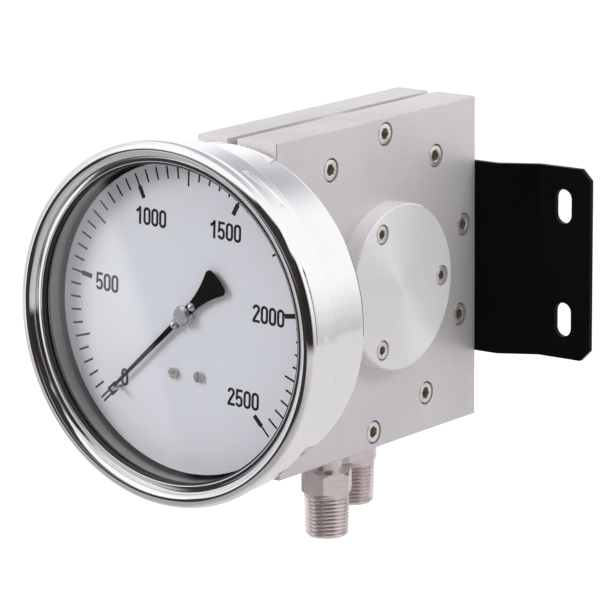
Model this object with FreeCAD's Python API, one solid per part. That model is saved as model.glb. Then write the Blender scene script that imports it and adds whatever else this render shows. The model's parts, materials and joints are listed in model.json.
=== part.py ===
import FreeCAD
import Part
import math
import os

from FreeCAD import Placement, Rotation, Vector

# Differential pressure gauge, in millimetres. X runs to the right of the dial, Y into the wall and Z up.
# The origin lies in the wall plane, midway between the four bracket slots.

# Flange block: two square plates, with the diaphragm clamped between them
block_depth = 155.0
block_height = 155.0
right_plate = 22.5
left_plate = 17.5
plate_gap = 5.0
plate_chamfer = 0.4

# Pressure chambers in the plates' inner faces, and the passages up from the ports
chamber_radius = 50.0
right_chamber_depth = 5.0
left_chamber_depth = 4.0
passage_radius = 3.0

# Diaphragm with its clamp rings and centre discs
diaphragm_sheet = 0.3
diaphragm_radius = 60.0
diaphragm_stroke = 2.0
wave_count = 4
wave_height = 0.8
wave_margin = 1.0
clamp_ring_radius = 77.0
centre_disc_radius = 25.0
centre_disc_thickness = 1.5

# Through bolts of the block, with nuts and washers on the left plate
bolt_count = 10
bolt_circle = 140.0
bolt_first_angle = 14.0
bolt_diameter = 6.0
bolt_head_diameter = 10.0
bolt_head_height = 6.0
bolt_socket = 5.0
bolt_recess_diameter = 11.3
bolt_sunk = 0.2
bolt_hole_play = 0.3
bolt_end = 1.5
nut_across_flats = 10.0
nut_height = 5.0
washer_radius = 6.0
washer_thickness = 1.6
thread_play = 0.05

# Round access cover on the right plate, behind and below the block's middle
cover_radius = 39.1
cover_thickness = 9.2
cover_back = 5.6
cover_drop = 1.25
cover_chamfer = 0.6
access_radius = 26.0
spigot_play = 0.1
spigot_length = 5.0
seal_groove_depth = 1.8
seal_groove_width = 2.6
seal_squeeze = 0.1
cover_screw_count = 3
cover_screw_circle = 63.0
cover_screw_diameter = 5.0
cover_screw_head = 8.5
cover_screw_head_height = 5.0
cover_screw_socket = 4.0
cover_screw_recess = 9.6
cover_screw_length = 13.0

# Port nipples under the plates, half-inch taper thread
port_spacing = 54.0
nipple_neck_radius = 7.0
nipple_entry = 14.0
nipple_neck_length = 7.1
nipple_hex = 22.0
nipple_hex_height = 10.4
nipple_hex_chamfer = 1.3
nipple_collar_radius = 9.6
nipple_collar_length = 1.4
nipple_thread_length = 19.3
nipple_thread_radius = 10.65
nipple_end_radius = 10.05
nipple_end_chamfer = 1.2
nipple_bore_radius = 4.5

# Wall bracket: folded hat section behind the block
bracket_sheet = 2.5
bracket_height = 92.5
bracket_half_width = 81.5
bracket_hat_half = 35.0
bracket_foot_start = 52.8
bracket_hat_depth = 9.7
bracket_bend_radius = 3.0
bracket_corner = 5.2
slot_width = 9.0
slot_length = 16.5
slot_spacing_x = 133.0
slot_spacing_z = 54.8
bracket_screw_z = 36.0
bracket_screw_diameter = 6.0
bracket_screw_head = 10.5
bracket_screw_head_height = 3.3
bracket_screw_socket = 4.0
bracket_screw_length = 11.0

# Case axis above the block's middle, on the diaphragm plane, and the pointer axis above the case axis
case_rise = 0.85
pointer_rise = 1.95

# Gauge case, with depths measured forward from the block's front face
case_radius = 75.2
case_wall = 2.4
case_back = 2.0
case_back_round = 5.0
case_flange_width = 4.8
case_flange_start = 36.5
case_flange_lean = 1.2
case_front = 42.5
case_screw_z = 38.0
case_screw_diameter = 5.0
case_screw_head = 8.5
case_screw_head_height = 3.2
case_screw_socket = 3.0
case_screw_length = 11.0
blowout_from_edge = 29.2
blowout_rise = 28.0
blowout_radius = 11.0
blowout_lip = 1.5
blowout_cap = 2.0

# Window: flat glass in a rubber channel
glass_thickness = 3.0
gasket_inset = 2.5
gasket_wall = 1.5
gasket_grip = 4.1
gasket_shown = 1.0
gasket_rear = 0.8
gasket_front = 1.2

# Bezel ring, a rolled sheet ring with pressed bayonet beads that slope to draw it home
bezel_sheet = 1.2
bezel_roll_radius = 3.6
bezel_roll_offset = 1.4
bezel_flare = 1.4
bezel_flare_length = 4.6
bezel_lip_round = 0.5
bezel_groove_width = 0.7
bezel_groove_depth = 0.5
bezel_overhang = 4.5
bezel_case_play = 0.3
bead_count = 6
bead_first_angle = -5.8
bead_sweep = 16.8
bead_slope = 6.3
bead_width = 3.6
bead_depth = 0.35
bead_from_edge = 6.4

# Dial with its posts, screws and stop pin
dial_case_gap = 1.8
dial_thickness = 0.8
dial_front = 34.5
dial_screw_x = 7.25
dial_screw_drop = 27.4
dial_post_radius = 3.0
dial_screw_head = 5.0
dial_screw_turns = (30.0, 90.0)
stop_pin_radius = 1.0
stop_pin_inset = 2.0
stop_pin_height = 6.2
stop_pin_play = 0.3

# Pointer
pointer_gap = 2.1
pointer_thickness = 0.8
pointer_inset = 15.0
pointer_root_width = 2.7
pointer_tip_width = 1.2
pointer_neck_width = 4.4
pointer_tail = 27.8
pointer_tail_width = 15.2
pointer_tail_start = 8.0
pointer_tail_hollow = 1.0
pointer_tail_bow = 1.2
pointer_tail_corner = 2.2
hub_radius = 4.6
hub_step = 0.6
hub_drum_radius = 3.9
hub_height = 2.0
hub_bevel = 0.35
hub_crown = 0.8
hub_dimple_radius = 0.5
hub_dimple_depth = 0.4
hub_strap_radius = 2.2
hub_strap_thickness = 0.8
rivet_offset = 6.9
rivet_radius = 2.0
rivet_shank_radius = 0.6
rivet_height = 1.4
scale_sweep = 270.0
scale_start = -132.8

# Movement: sector and pinion between two plates, carried on stands in the case
gear_module = 0.5
pressure_angle = 20.0
pinion_teeth = 12
sector_full_teeth = 108
sector_teeth = 14
sector_lead_teeth = 2
pinion_addendum = 0.5
sector_addendum = 0.35
root_clearance = 0.15
flank_points = 4
gear_backlash = 0.1
sector_rim = 4.0
sector_hub_radius = 4.2
sector_arm_width = 7.0
sector_thickness = 2.0
pinion_length = 4.0
arbor_radius = 1.5
pinion_shaft_radius = 1.2
bearing_play = 0.05
plate_thickness = 2.0
rear_plate_start = 12.0
front_plate_start = 25.0
sector_start = 18.0
movement_left = 40.0
movement_right = 14.5
movement_top = 15.0
movement_bottom = 34.0
movement_corner = 4.0
pillar_radius = 3.2
pillar_places = ((-36.0, 10.5), (6.5, 11.0), (10.0, -18.0), (-36.0, -30.0))
stand_radius = 3.5
stand_places = ((-22.0, 10.0), (0.0, -24.0), (-29.0, -27.0))
spigot_radius = 1.6
small_screw_radius = 1.2
small_screw_head = 5.2
small_screw_head_height = 1.6
small_screw_reach = 6.0
small_slot_width = 0.8
collet_radius = 2.4
collet_length = 2.6
spring_inner = 2.75
spring_outer = 8.0
spring_turns = 4
spring_points_per_turn = 8
spring_strip = 0.25
spring_width = 2.0
spring_stud_radius = 1.2

# Drive from the diaphragm: torque shaft, levers and link
shaft_x = 9.0
shaft_z = 14.0
shaft_radius = 2.5
shaft_bore_radius = 2.8
bush_radius = 4.0
bush_length = 8.0
shaft_seal_length = 3.0
stud_radius = 3.0
stud_head_radius = 6.0
stud_head_height = 2.0
stud_nut_across_flats = 8.0
stud_nut_height = 2.4
tongue_thickness = 2.4
tongue_height = 9.0
tongue_end = 3.5
lever_pin_radius = 1.25
lever_pin_play = 0.12
lever_slot_rise = 0.6
lever_hub_radius = 5.5
lever_eye_radius = 3.0
lever_thickness = 3.0
lever_gap = 0.4
arm_length = 25.6
arm_hub_radius = 6.0
arm_eye_radius = 2.8
arm_start = 6.0
arm_thickness = 2.0
link_gap = 0.4
link_thickness = 1.5
link_eye_radius = 2.6
link_pin_radius = 1.0
link_slot_play = 0.1
link_slot_rise = 0.4
pin_stand = 0.4
tail_hub_radius = 4.2
tail_eye_radius = 2.4

# Cutters run this far past the faces they open, and edges are picked out this near their places
past = 1.0
edge_match = 0.25

# Bevel on a socket screw's head and tip, as a share of the head's height
screw_bevel_share = 0.1

# Places worked out from the driving sizes
half_height = block_height / 2
block_rear = -(bracket_hat_depth + bracket_sheet)
block_front = block_rear - block_depth
block_mid = (block_front + block_rear) / 2
right_face = (right_plate + plate_gap + left_plate) / 2
right_inner = right_face - right_plate
left_inner = right_inner - plate_gap
left_face = left_inner - left_plate
right_mid = right_inner + right_plate / 2
left_mid = left_inner - left_plate / 2
diaphragm_x = (right_inner + left_inner) / 2
bolt_radius = bolt_diameter / 2
bolt_hole_radius = bolt_radius + bolt_hole_play
cover_y = block_mid + cover_back
cover_z = -cover_drop
front_port = Vector(right_mid, block_mid - port_spacing / 2, -half_height)
rear_port = Vector(left_mid, block_mid + port_spacing / 2, -half_height)
passage_z = 2 * passage_radius - math.sqrt(chamber_radius ** 2 - (port_spacing / 2) ** 2)
case_screw_places = [(x, z) for x in (left_mid, right_mid) for z in (-case_screw_z, case_screw_z)]
bracket_screw_places = [(x, z) for x in (left_mid, right_mid) for z in (-bracket_screw_z, bracket_screw_z)]

gauge_x = diaphragm_x
case_z = case_rise
gauge_z = case_z + pointer_rise
case_flange_radius = case_radius + case_flange_width
gasket_radius = case_flange_radius - gasket_inset
glass_radius = gasket_radius - gasket_wall
gasket_front_radius = glass_radius - gasket_grip
bezel_window_radius = gasket_front_radius + gasket_shown
bezel_skirt_radius = case_flange_radius + bezel_case_play + bezel_sheet
bezel_radius = bezel_skirt_radius + bezel_flare
bezel_skirt_start = case_flange_start - bezel_overhang
blowout_place = (gauge_x - case_radius + blowout_from_edge, case_z + blowout_rise)
dial_radius = case_radius - case_wall - dial_case_gap
pointer_length = dial_radius - pointer_inset
stop_pin_reach = pointer_length - stop_pin_inset
glass_rear = case_front + gasket_rear
lip_rear = glass_rear + glass_thickness + gasket_front
dial_rear = dial_front - dial_thickness
pointer_back = dial_front + pointer_gap
pointer_front = pointer_back + pointer_thickness
front_plate_end = front_plate_start + plate_thickness
rear_plate_end = rear_plate_start + plate_thickness
pinion_start = sector_start - (pinion_length - sector_thickness) / 2
collet_start = pinion_start + pinion_length + link_gap
link_start = arm_start + arm_thickness + link_gap
link_end = link_start + link_thickness
pin_end = link_end + pin_stand

# The levers swing equally to both sides of straight down, so the drive link stays level
pinion_pitch_radius = gear_module * pinion_teeth / 2
sector_pitch_radius = gear_module * sector_full_teeth / 2
gear_centres = pinion_pitch_radius + sector_pitch_radius
lever_length = shaft_z
lever_half_swing = math.degrees(math.asin(diaphragm_stroke / 2 / lever_length))
sector_half_swing = scale_sweep / 2 * pinion_teeth / sector_full_teeth
swing_ratio = math.sin(math.radians(lever_half_swing)) / math.sin(math.radians(sector_half_swing))
tail_length = arm_length * swing_ratio
link_z = shaft_z - arm_length * math.cos(math.radians(lever_half_swing))
sector_z = link_z + tail_length * math.cos(math.radians(sector_half_swing))
sector_x = gauge_x - math.sqrt(gear_centres ** 2 - (gauge_z - sector_z) ** 2)
arm_pin_x = shaft_x - arm_length * math.sin(math.radians(lever_half_swing))
tail_pin_x = sector_x - tail_length * math.sin(math.radians(sector_half_swing))
lever_pin_x = shaft_x - lever_length * math.sin(math.radians(lever_half_swing))
lever_pin_z = shaft_z - lever_length * math.cos(math.radians(lever_half_swing))
mesh_angle = math.degrees(math.atan2(gauge_z - sector_z, gauge_x - sector_x))
bush_drop = shaft_z - bush_radius - cover_z
inner_bush_end = cover_y - math.sqrt(access_radius ** 2 - bush_drop ** 2)
lever_start = block_mid + tongue_thickness / 2 + lever_gap
lever_end = lever_start + lever_thickness


# Straight-sided helpers
def box(x0, x1, y0, y1, z0, z1):
    return Part.makeBox(x1 - x0, y1 - y0, z1 - z0, Vector(x0, y0, z0))


def rod(radius, start, end):
    return Part.makeCylinder(radius, (end - start).Length, start, end - start)


def tube(outer, inner, start, end):
    return rod(outer, start, end).cut(rod(inner, start, end))


# A point in front of the block's front face, and one on the right of the block's middle
def ahead(x, z, depth):
    return Vector(x, block_front - depth, z)


def gauge_rod(radius, x, z, start, end):
    return rod(radius, ahead(x, z, start), ahead(x, z, end))


# A path is a first point followed by points, or pairs of middle and end points for arcs
def wire(path, point):
    here = point(*path[0])
    edges = []
    for step in path[1:]:
        if isinstance(step[0], tuple):
            end = point(*step[1])
            edges.append(Part.Arc(here, point(*step[0]), end).toShape())
        else:
            end = point(*step)
            edges.append(Part.makeLine(here, end))
        here = end
    first = point(*path[0])
    if here.distanceToPoint(first) > Part.Precision.confusion():
        edges.append(Part.makeLine(here, first))
    return Part.Wire(edges)


# Turned piece: a closed path of radius and length, turned about an axis
def turned(path, origin, axis, start=0.0, sweep=360.0):
    face = Part.Face(wire(path, lambda radius, length: Vector(radius, 0, length)))
    face.rotate(Vector(), Vector(0, 0, 1), start)
    return placed(face.revolve(Vector(), Vector(0, 0, 1), sweep), origin, axis)


def placed(shape, origin, axis):
    shape.Placement = Placement(origin, Rotation(Vector(0, 0, 1), axis))
    return shape


# Turned piece across the gauge, with lengths measured forward from the given depth
def gauge_turned(path, x, z, depth=0.0):
    return turned(path, ahead(x, z, depth), Vector(0, -1, 0))


# Flat piece across the gauge, cut from a path of x and z
def gauge_flat(path, start, end):
    face = Part.Face(wire(path, lambda x, z: ahead(x, z, start)))
    return face.extrude(Vector(0, start - end, 0))


def hex_bar(across_flats, length):
    radius = across_flats / math.sqrt(3)
    turns = [math.pi * k / 3 for k in range(6)]
    corners = [Vector(radius * math.cos(turn), radius * math.sin(turn), 0) for turn in turns]
    return Part.Face(Part.makePolygon(corners, True)).extrude(Vector(0, 0, length))


# Socket screw from the middle of its head's top, along its way in
def socket_screw(top, way, head, head_height, socket, shank, length):
    bevel = head_height * screw_bevel_share
    end = head_height + length
    path = [(0, 0), (head / 2 - bevel, 0), (head / 2, bevel), (head / 2, head_height),
            (shank / 2, head_height), (shank / 2, end - bevel), (shank / 2 - bevel, end), (0, end)]
    body = turned(path, Vector(), Vector(0, 0, 1)).cut(hex_bar(socket, head_height / 2))
    return placed(body, top, way)


# Slotted screw on a plate across the gauge, with its head's underside at the given depth
def slotted_screw(x, z, depth, head, head_height, reach, turn=0.0):
    body = gauge_rod(head / 2, x, z, depth, depth + head_height)
    body = body.fuse(gauge_rod(small_screw_radius, x, z, depth - reach, depth))
    top = block_front - depth - head_height
    half = small_slot_width / 2
    slot = box(x - head, x + head, top, top + head_height / 2, z - half, z + half)
    slot.rotate(ahead(x, z, depth), Vector(0, -1, 0), turn)
    return body.cut(slot).removeSplitter()


# Flat lever with a round eye at each end, drawn between two points of x and z
def strap(first, first_radius, second, second_radius, start, end):
    reach = math.hypot(second[0] - first[0], second[1] - first[1])
    way = math.atan2(second[1] - first[1], second[0] - first[0])
    lean = math.acos((first_radius - second_radius) / reach)

    def rim(middle, radius, angle):
        return (middle[0] + radius * math.cos(angle), middle[1] + radius * math.sin(angle))

    path = [rim(first, first_radius, way + lean),
            (rim(first, first_radius, way + math.pi), rim(first, first_radius, way - lean)),
            rim(second, second_radius, way - lean),
            (rim(second, second_radius, way), rim(second, second_radius, way + lean))]
    return gauge_flat(path, start, end)


# Places round a circle on the block's side, measured from the rear towards the top
def bolt_places():
    angles = [math.radians(bolt_first_angle + 360.0 * k / bolt_count) for k in range(bolt_count)]
    return [(block_mid + bolt_circle / 2 * math.cos(a), bolt_circle / 2 * math.sin(a)) for a in angles]


def cover_screw_places():
    angles = [2 * math.pi * k / cover_screw_count for k in range(cover_screw_count)]
    reach = cover_screw_circle / 2
    return [(cover_y + reach * math.cos(a), cover_z + reach * math.sin(a)) for a in angles]


def bolt_holes():
    left = left_face - past
    right = right_face + past
    return [rod(bolt_hole_radius, Vector(left, y, z), Vector(right, y, z)) for y, z in bolt_places()]


# Tapped holes for the case and bracket screws, and the port drilling, in the plate at a given middle
def plate_holes(middle, port, chamber_floor):
    case_depth = case_screw_length - case_back + past
    bracket_depth = bracket_screw_length - bracket_sheet + past
    holes = []
    for x, z in case_screw_places:
        if x == middle:
            radius = case_screw_diameter / 2 + thread_play
            holes.append(rod(radius, ahead(x, z, past), ahead(x, z, -case_depth)))
    for x, z in bracket_screw_places:
        if x == middle:
            radius = bracket_screw_diameter / 2 + thread_play
            mouth = Vector(x, block_rear + past, z)
            holes.append(rod(radius, mouth, Vector(x, block_rear - bracket_depth, z)))
    mouth = port - Vector(0, 0, past)
    top = Vector(port.x, port.y, passage_z)
    holes.append(rod(nipple_neck_radius + thread_play, mouth, port + Vector(0, 0, nipple_entry)))
    holes.append(rod(passage_radius, port, top + Vector(0, 0, passage_radius)))
    holes.append(rod(passage_radius, top, Vector(chamber_floor, port.y, passage_z)))
    return holes


def plate(x0, x1):
    solid = box(x0, x1, block_front, block_rear, -half_height, half_height)
    return solid.makeChamfer(plate_chamfer, solid.Edges)


# Block pieces
def right_block():
    floor = right_inner + right_chamber_depth
    cuts = bolt_holes() + plate_holes(right_mid, front_port, floor - past)
    recess_floor = right_face - bolt_sunk - bolt_head_height
    for y, z in bolt_places():
        radius = bolt_recess_diameter / 2
        cuts.append(rod(radius, Vector(recess_floor, y, z), Vector(right_face + past, y, z)))
    cuts.append(rod(chamber_radius, Vector(right_inner - past, block_mid, 0), Vector(floor, block_mid, 0)))
    mouth = Vector(right_face + past, cover_y, cover_z)
    cuts.append(rod(access_radius, Vector(right_inner, cover_y, cover_z), mouth))
    screw_floor = right_face - cover_screw_length + cover_thickness - cover_screw_head_height - past
    for y, z in cover_screw_places():
        radius = cover_screw_diameter / 2 + thread_play
        cuts.append(rod(radius, Vector(screw_floor, y, z), Vector(right_face + past, y, z)))
    inside = Vector(shaft_x, cover_y, shaft_z)
    seat = Vector(shaft_x, inner_bush_end - bush_length, shaft_z)
    front = ahead(shaft_x, shaft_z, past)
    cuts.append(rod(shaft_bore_radius, front, inside))
    cuts.append(rod(bush_radius, front, ahead(shaft_x, shaft_z, -bush_length - shaft_seal_length)))
    cuts.append(rod(bush_radius, seat, inside))
    return plate(right_inner, right_face).cut(cuts)


def left_block():
    floor = left_inner - left_chamber_depth
    cuts = bolt_holes() + plate_holes(left_mid, rear_port, floor + past)
    cuts.append(rod(chamber_radius, Vector(left_inner + past, block_mid, 0), Vector(floor, block_mid, 0)))
    return plate(left_face, left_inner).cut(cuts)


def block_bolts():
    top = right_face - bolt_sunk
    tip = left_face - washer_thickness - nut_height - bolt_end
    length = top - bolt_head_height - tip
    sizes = (bolt_head_diameter, bolt_head_height, bolt_socket, bolt_diameter, length)
    return [socket_screw(Vector(top, y, z), Vector(-1, 0, 0), *sizes) for y, z in bolt_places()]


def block_washers():
    outer = left_face - washer_thickness
    bore = bolt_radius + bolt_hole_play
    return [tube(washer_radius, bore, Vector(outer, y, z), Vector(left_face, y, z)) for y, z in bolt_places()]


def block_nuts():
    inner = left_face - washer_thickness
    corner = nut_across_flats / math.sqrt(3)
    flat = nut_across_flats / 2
    bevel = corner - flat
    path = [(0, 0), (corner, 0), (corner, nut_height - bevel), (flat, nut_height), (0, nut_height)]
    nuts = []
    for y, z in bolt_places():
        body = hex_bar(nut_across_flats, nut_height).common(turned(path, Vector(), Vector(0, 0, 1)))
        bore = rod(bolt_radius + thread_play, Vector(), Vector(0, 0, nut_height))
        nuts.append(placed(body.cut(bore), Vector(inner, y, z), Vector(-1, 0, 0)))
    return nuts


def clamp_ring(x0, x1):
    ring = tube(clamp_ring_radius, chamber_radius, Vector(x0, block_mid, 0), Vector(x1, block_mid, 0))
    return ring.cut(bolt_holes())


def clamp_ring_right():
    return clamp_ring(diaphragm_x + diaphragm_sheet / 2, right_inner)


def clamp_ring_left():
    return clamp_ring(left_inner, diaphragm_x - diaphragm_sheet / 2)


# Corrugated diaphragm: waves between the centre discs and the clamp rings
def diaphragm():
    half = diaphragm_sheet / 2
    start = centre_disc_radius + wave_margin
    step = (chamber_radius - wave_margin - start) / (2 * wave_count)
    path = [(stud_radius, half), (start, half)]
    for k in range(2 * wave_count):
        crest = wave_height if k % 2 else -wave_height
        path.append(((start + step * (k + 0.5), half + crest), (start + step * (k + 1), half)))
    path += [(diaphragm_radius, half), (diaphragm_radius, -half), (start + step * 2 * wave_count, -half)]
    for k in reversed(range(2 * wave_count)):
        crest = wave_height if k % 2 else -wave_height
        path.append(((start + step * (k + 0.5), crest - half), (start + step * k, -half)))
    path.append((stud_radius, -half))
    return turned(path, Vector(diaphragm_x, block_mid, 0), Vector(1, 0, 0))


def centre_disc(x0, x1):
    return tube(centre_disc_radius, stud_radius, Vector(x0, block_mid, 0), Vector(x1, block_mid, 0))


def centre_disc_right():
    face = diaphragm_x + diaphragm_sheet / 2
    return centre_disc(face, face + centre_disc_thickness)


def centre_disc_left():
    face = diaphragm_x - diaphragm_sheet / 2
    return centre_disc(face - centre_disc_thickness, face)


# Stud through the centre discs, flattened to a slotted tongue for the lever pin
def centre_stud():
    head = diaphragm_x - diaphragm_sheet / 2 - centre_disc_thickness
    neck = diaphragm_x + diaphragm_sheet / 2 + centre_disc_thickness + stud_nut_height
    middle = Vector(head, block_mid, 0)
    body = rod(stud_head_radius, middle - Vector(stud_head_height, 0, 0), middle)
    body = body.fuse(rod(stud_radius, middle, Vector(neck, block_mid, 0)))
    half = tongue_thickness / 2
    end = lever_pin_x + tongue_end
    rise = tongue_height / 2
    body = body.fuse(box(neck, end, block_mid - half, block_mid + half, -rise, rise))
    width = lever_pin_radius + lever_pin_play
    low = lever_pin_z - lever_slot_rise
    high = lever_pin_z + lever_slot_rise
    sides = (block_mid - half - past, block_mid + half + past)
    slot = box(lever_pin_x - width, lever_pin_x + width, sides[0], sides[1], low, high)
    for z in (low, high):
        slot = slot.fuse(rod(width, Vector(lever_pin_x, sides[0], z), Vector(lever_pin_x, sides[1], z)))
    return body.cut(slot).removeSplitter()


def stud_nut():
    start = diaphragm_x + diaphragm_sheet / 2 + centre_disc_thickness
    bore = rod(stud_radius, Vector(), Vector(0, 0, stud_nut_height))
    body = hex_bar(stud_nut_across_flats, stud_nut_height).cut(bore)
    return placed(body, Vector(start, block_mid, 0), Vector(1, 0, 0))


# Access cover, its seal and its screws
def side_cover():
    spigot = access_radius - spigot_play
    groove = spigot - seal_groove_depth
    groove_start = -spigot_length / 2 - seal_groove_width / 2
    groove_end = groove_start + seal_groove_width
    path = [(0, -spigot_length), (spigot, -spigot_length), (spigot, groove_start), (groove, groove_start),
            (groove, groove_end), (spigot, groove_end), (spigot, 0), (cover_radius, 0),
            (cover_radius, cover_thickness - cover_chamfer), (cover_radius - cover_chamfer, cover_thickness),
            (0, cover_thickness)]
    body = turned(path, Vector(right_face, cover_y, cover_z), Vector(1, 0, 0))
    outer = right_face + cover_thickness
    seat = outer - bolt_sunk - cover_screw_head_height
    cuts = []
    for y, z in cover_screw_places():
        clear = cover_screw_diameter / 2 + bolt_hole_play
        cuts.append(rod(clear, Vector(right_face - past, y, z), Vector(outer, y, z)))
        cuts.append(rod(cover_screw_recess / 2, Vector(seat, y, z), Vector(outer + past, y, z)))
    return body.cut(cuts)


def side_cover_seal():
    groove = access_radius - spigot_play - seal_groove_depth
    radius = (access_radius - groove) / 2 - seal_squeeze
    middle = Vector(right_face - spigot_length / 2, cover_y, cover_z)
    return Part.makeTorus(groove + (access_radius - groove) / 2, radius, middle, Vector(1, 0, 0))


def side_cover_screws():
    top = right_face + cover_thickness - bolt_sunk
    sizes = (cover_screw_head, cover_screw_head_height, cover_screw_socket, cover_screw_diameter,
             cover_screw_length)
    return [socket_screw(Vector(top, y, z), Vector(-1, 0, 0), *sizes) for y, z in cover_screw_places()]


# Port nipple, turned from hexagon bar, with its length measured down from the block
def nipple(port):
    hex_start = nipple_neck_length
    hex_end = hex_start + nipple_hex_height
    thread_start = hex_end + nipple_collar_length
    end = thread_start + nipple_thread_length
    corner = nipple_hex / math.sqrt(3)
    flat = nipple_hex / 2
    path = [(nipple_bore_radius, -nipple_entry), (nipple_neck_radius, -nipple_entry),
            (nipple_neck_radius, hex_start), (flat, hex_start),
            (corner, hex_start + nipple_hex_chamfer), (corner, hex_end - nipple_hex_chamfer),
            (flat, hex_end), (nipple_collar_radius, hex_end), (nipple_collar_radius, thread_start),
            (nipple_thread_radius, thread_start), (nipple_end_radius, end - nipple_end_chamfer),
            (nipple_end_radius - nipple_end_chamfer, end), (nipple_bore_radius, end)]
    body = turned(path, Vector(), Vector(0, 0, 1))
    blank = hex_bar(nipple_hex, nipple_hex_height)
    waste = rod(corner + past, Vector(), Vector(0, 0, nipple_hex_height)).cut(blank)
    waste.translate(Vector(0, 0, hex_start))
    return placed(body.cut(waste), port, Vector(0, 0, -1))


def front_port_nipple():
    return nipple(front_port)


def rear_port_nipple():
    return nipple(rear_port)


# Folded bracket, drawn as its section from above and raised to its height
def wall_bracket():
    slope = math.atan2(bracket_hat_depth, bracket_foot_start - bracket_hat_half)
    shift = bracket_sheet * math.tan(slope / 2)
    foot = block_rear + bracket_hat_depth
    near = [(bracket_hat_half, block_rear), (bracket_foot_start, foot), (bracket_half_width, foot)]
    far = [(bracket_half_width, 0.0), (bracket_foot_start - shift, 0.0),
           (bracket_hat_half - shift, block_rear + bracket_sheet)]
    right_side = near + far
    left_side = [(-x, y) for x, y in reversed(right_side)]
    low = -bracket_height / 2
    face = Part.Face(wire(right_side + left_side, lambda x, y: Vector(x, y, low)))
    body = face.extrude(Vector(0, 0, bracket_height))
    tight = [near[1], far[2]]
    wide = [near[0], far[1]]
    for places, radius in ((tight, bracket_bend_radius), (wide, bracket_bend_radius + bracket_sheet)):
        body = body.makeFillet(radius, upright_edges(body, places))
    corners = [edge for edge in body.Edges if is_corner(edge)]
    body = body.makeChamfer(bracket_corner, corners)
    cuts = []
    for x in (-slot_spacing_x / 2, slot_spacing_x / 2):
        for z in (-slot_spacing_z / 2, slot_spacing_z / 2):
            cuts.append(wall_slot(x, z, foot))
    for x, z in bracket_screw_places:
        radius = bracket_screw_diameter / 2 + bolt_hole_play
        cuts.append(rod(radius, Vector(x, block_rear - past, z), Vector(x, foot, z)))
    return body.cut(cuts)


def upright_edges(body, places):
    found = []
    for edge in body.Edges:
        middle = edge.CenterOfMass
        for x, y in places:
            upright = abs(edge.Length - bracket_height) < edge_match
            if upright and abs(abs(middle.x) - x) < edge_match and abs(middle.y - y) < edge_match:
                found.append(edge)
    return found


def is_corner(edge):
    middle = edge.CenterOfMass
    at_end = abs(abs(middle.x) - bracket_half_width) < edge_match
    at_top = abs(abs(middle.z) - bracket_height / 2) < edge_match
    return at_end and at_top and abs(edge.Length - bracket_sheet) < edge_match


def wall_slot(x, z, foot):
    radius = slot_width / 2
    rise = slot_length / 2 - radius
    cut = box(x - radius, x + radius, foot - past, past, z - rise, z + rise)
    for end in (z - rise, z + rise):
        cut = cut.fuse(rod(radius, Vector(x, foot - past, end), Vector(x, past, end)))
    return cut.removeSplitter()


def bracket_screws():
    top = block_rear + bracket_sheet + bracket_screw_head_height
    sizes = (bracket_screw_head, bracket_screw_head_height, bracket_screw_socket, bracket_screw_diameter,
             bracket_screw_length)
    return [socket_screw(Vector(x, top, z), Vector(0, -1, 0), *sizes) for x, z in bracket_screw_places]


# Case: drawn cup with a rounded back edge and a bayonet flange at its mouth
def gauge_case():
    inside = case_radius - case_wall
    turn = case_back_round * (1 - math.sqrt(0.5))
    inner_round = case_back_round - case_back
    inner_turn = inner_round * (1 - math.sqrt(0.5))
    path = [(0, 0), (case_radius - case_back_round, 0),
            ((case_radius - turn, turn), (case_radius, case_back_round)),
            (case_radius, case_flange_start), (case_flange_radius - case_flange_lean, case_flange_start),
            (case_flange_radius, case_flange_start + case_flange_lean), (case_flange_radius, case_front),
            (inside, case_front), (inside, case_back + inner_round),
            ((inside - inner_turn, case_back + inner_turn), (inside - inner_round, case_back)),
            (0, case_back)]
    cuts = [gauge_rod(bush_radius + bolt_hole_play, shaft_x, shaft_z, -past, case_back + past)]
    for x, z in case_screw_places:
        cuts.append(gauge_rod(case_screw_diameter / 2 + bolt_hole_play, x, z, -past, case_back + past))
    for x, z in stand_places:
        cuts.append(gauge_rod(spigot_radius, gauge_x + x, gauge_z + z, -past, case_back + past))
    cuts.append(gauge_rod(blowout_radius, *blowout_place, -past, case_back + past))
    return gauge_turned(path, gauge_x, case_z).cut(cuts)


def case_screws():
    top = case_back + case_screw_head_height
    sizes = (case_screw_head, case_screw_head_height, case_screw_socket, case_screw_diameter,
             case_screw_length)
    return [socket_screw(ahead(x, z, top), Vector(0, 1, 0), *sizes) for x, z in case_screw_places]


# Rubber plug that a burst would push out of the case's back
def blowout_plug():
    lip = blowout_radius + blowout_lip
    body = gauge_rod(blowout_radius, *blowout_place, 0, case_back)
    body = body.fuse(gauge_rod(lip, *blowout_place, -blowout_cap, 0))
    body = body.fuse(gauge_rod(lip, *blowout_place, case_back, case_back + blowout_cap / 2))
    return body.removeSplitter()


def window_gasket():
    rear_radius = case_radius - case_wall
    glass_front = glass_rear + glass_thickness
    path = [(rear_radius, case_front), (gasket_radius, case_front), (gasket_radius, lip_rear),
            (gasket_front_radius, lip_rear), (gasket_front_radius, glass_front),
            (glass_radius, glass_front), (glass_radius, glass_rear), (rear_radius, glass_rear)]
    return gauge_turned(path, gauge_x, case_z)


def window_glass():
    return gauge_rod(glass_radius, gauge_x, case_z, glass_rear, glass_rear + glass_thickness)


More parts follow.
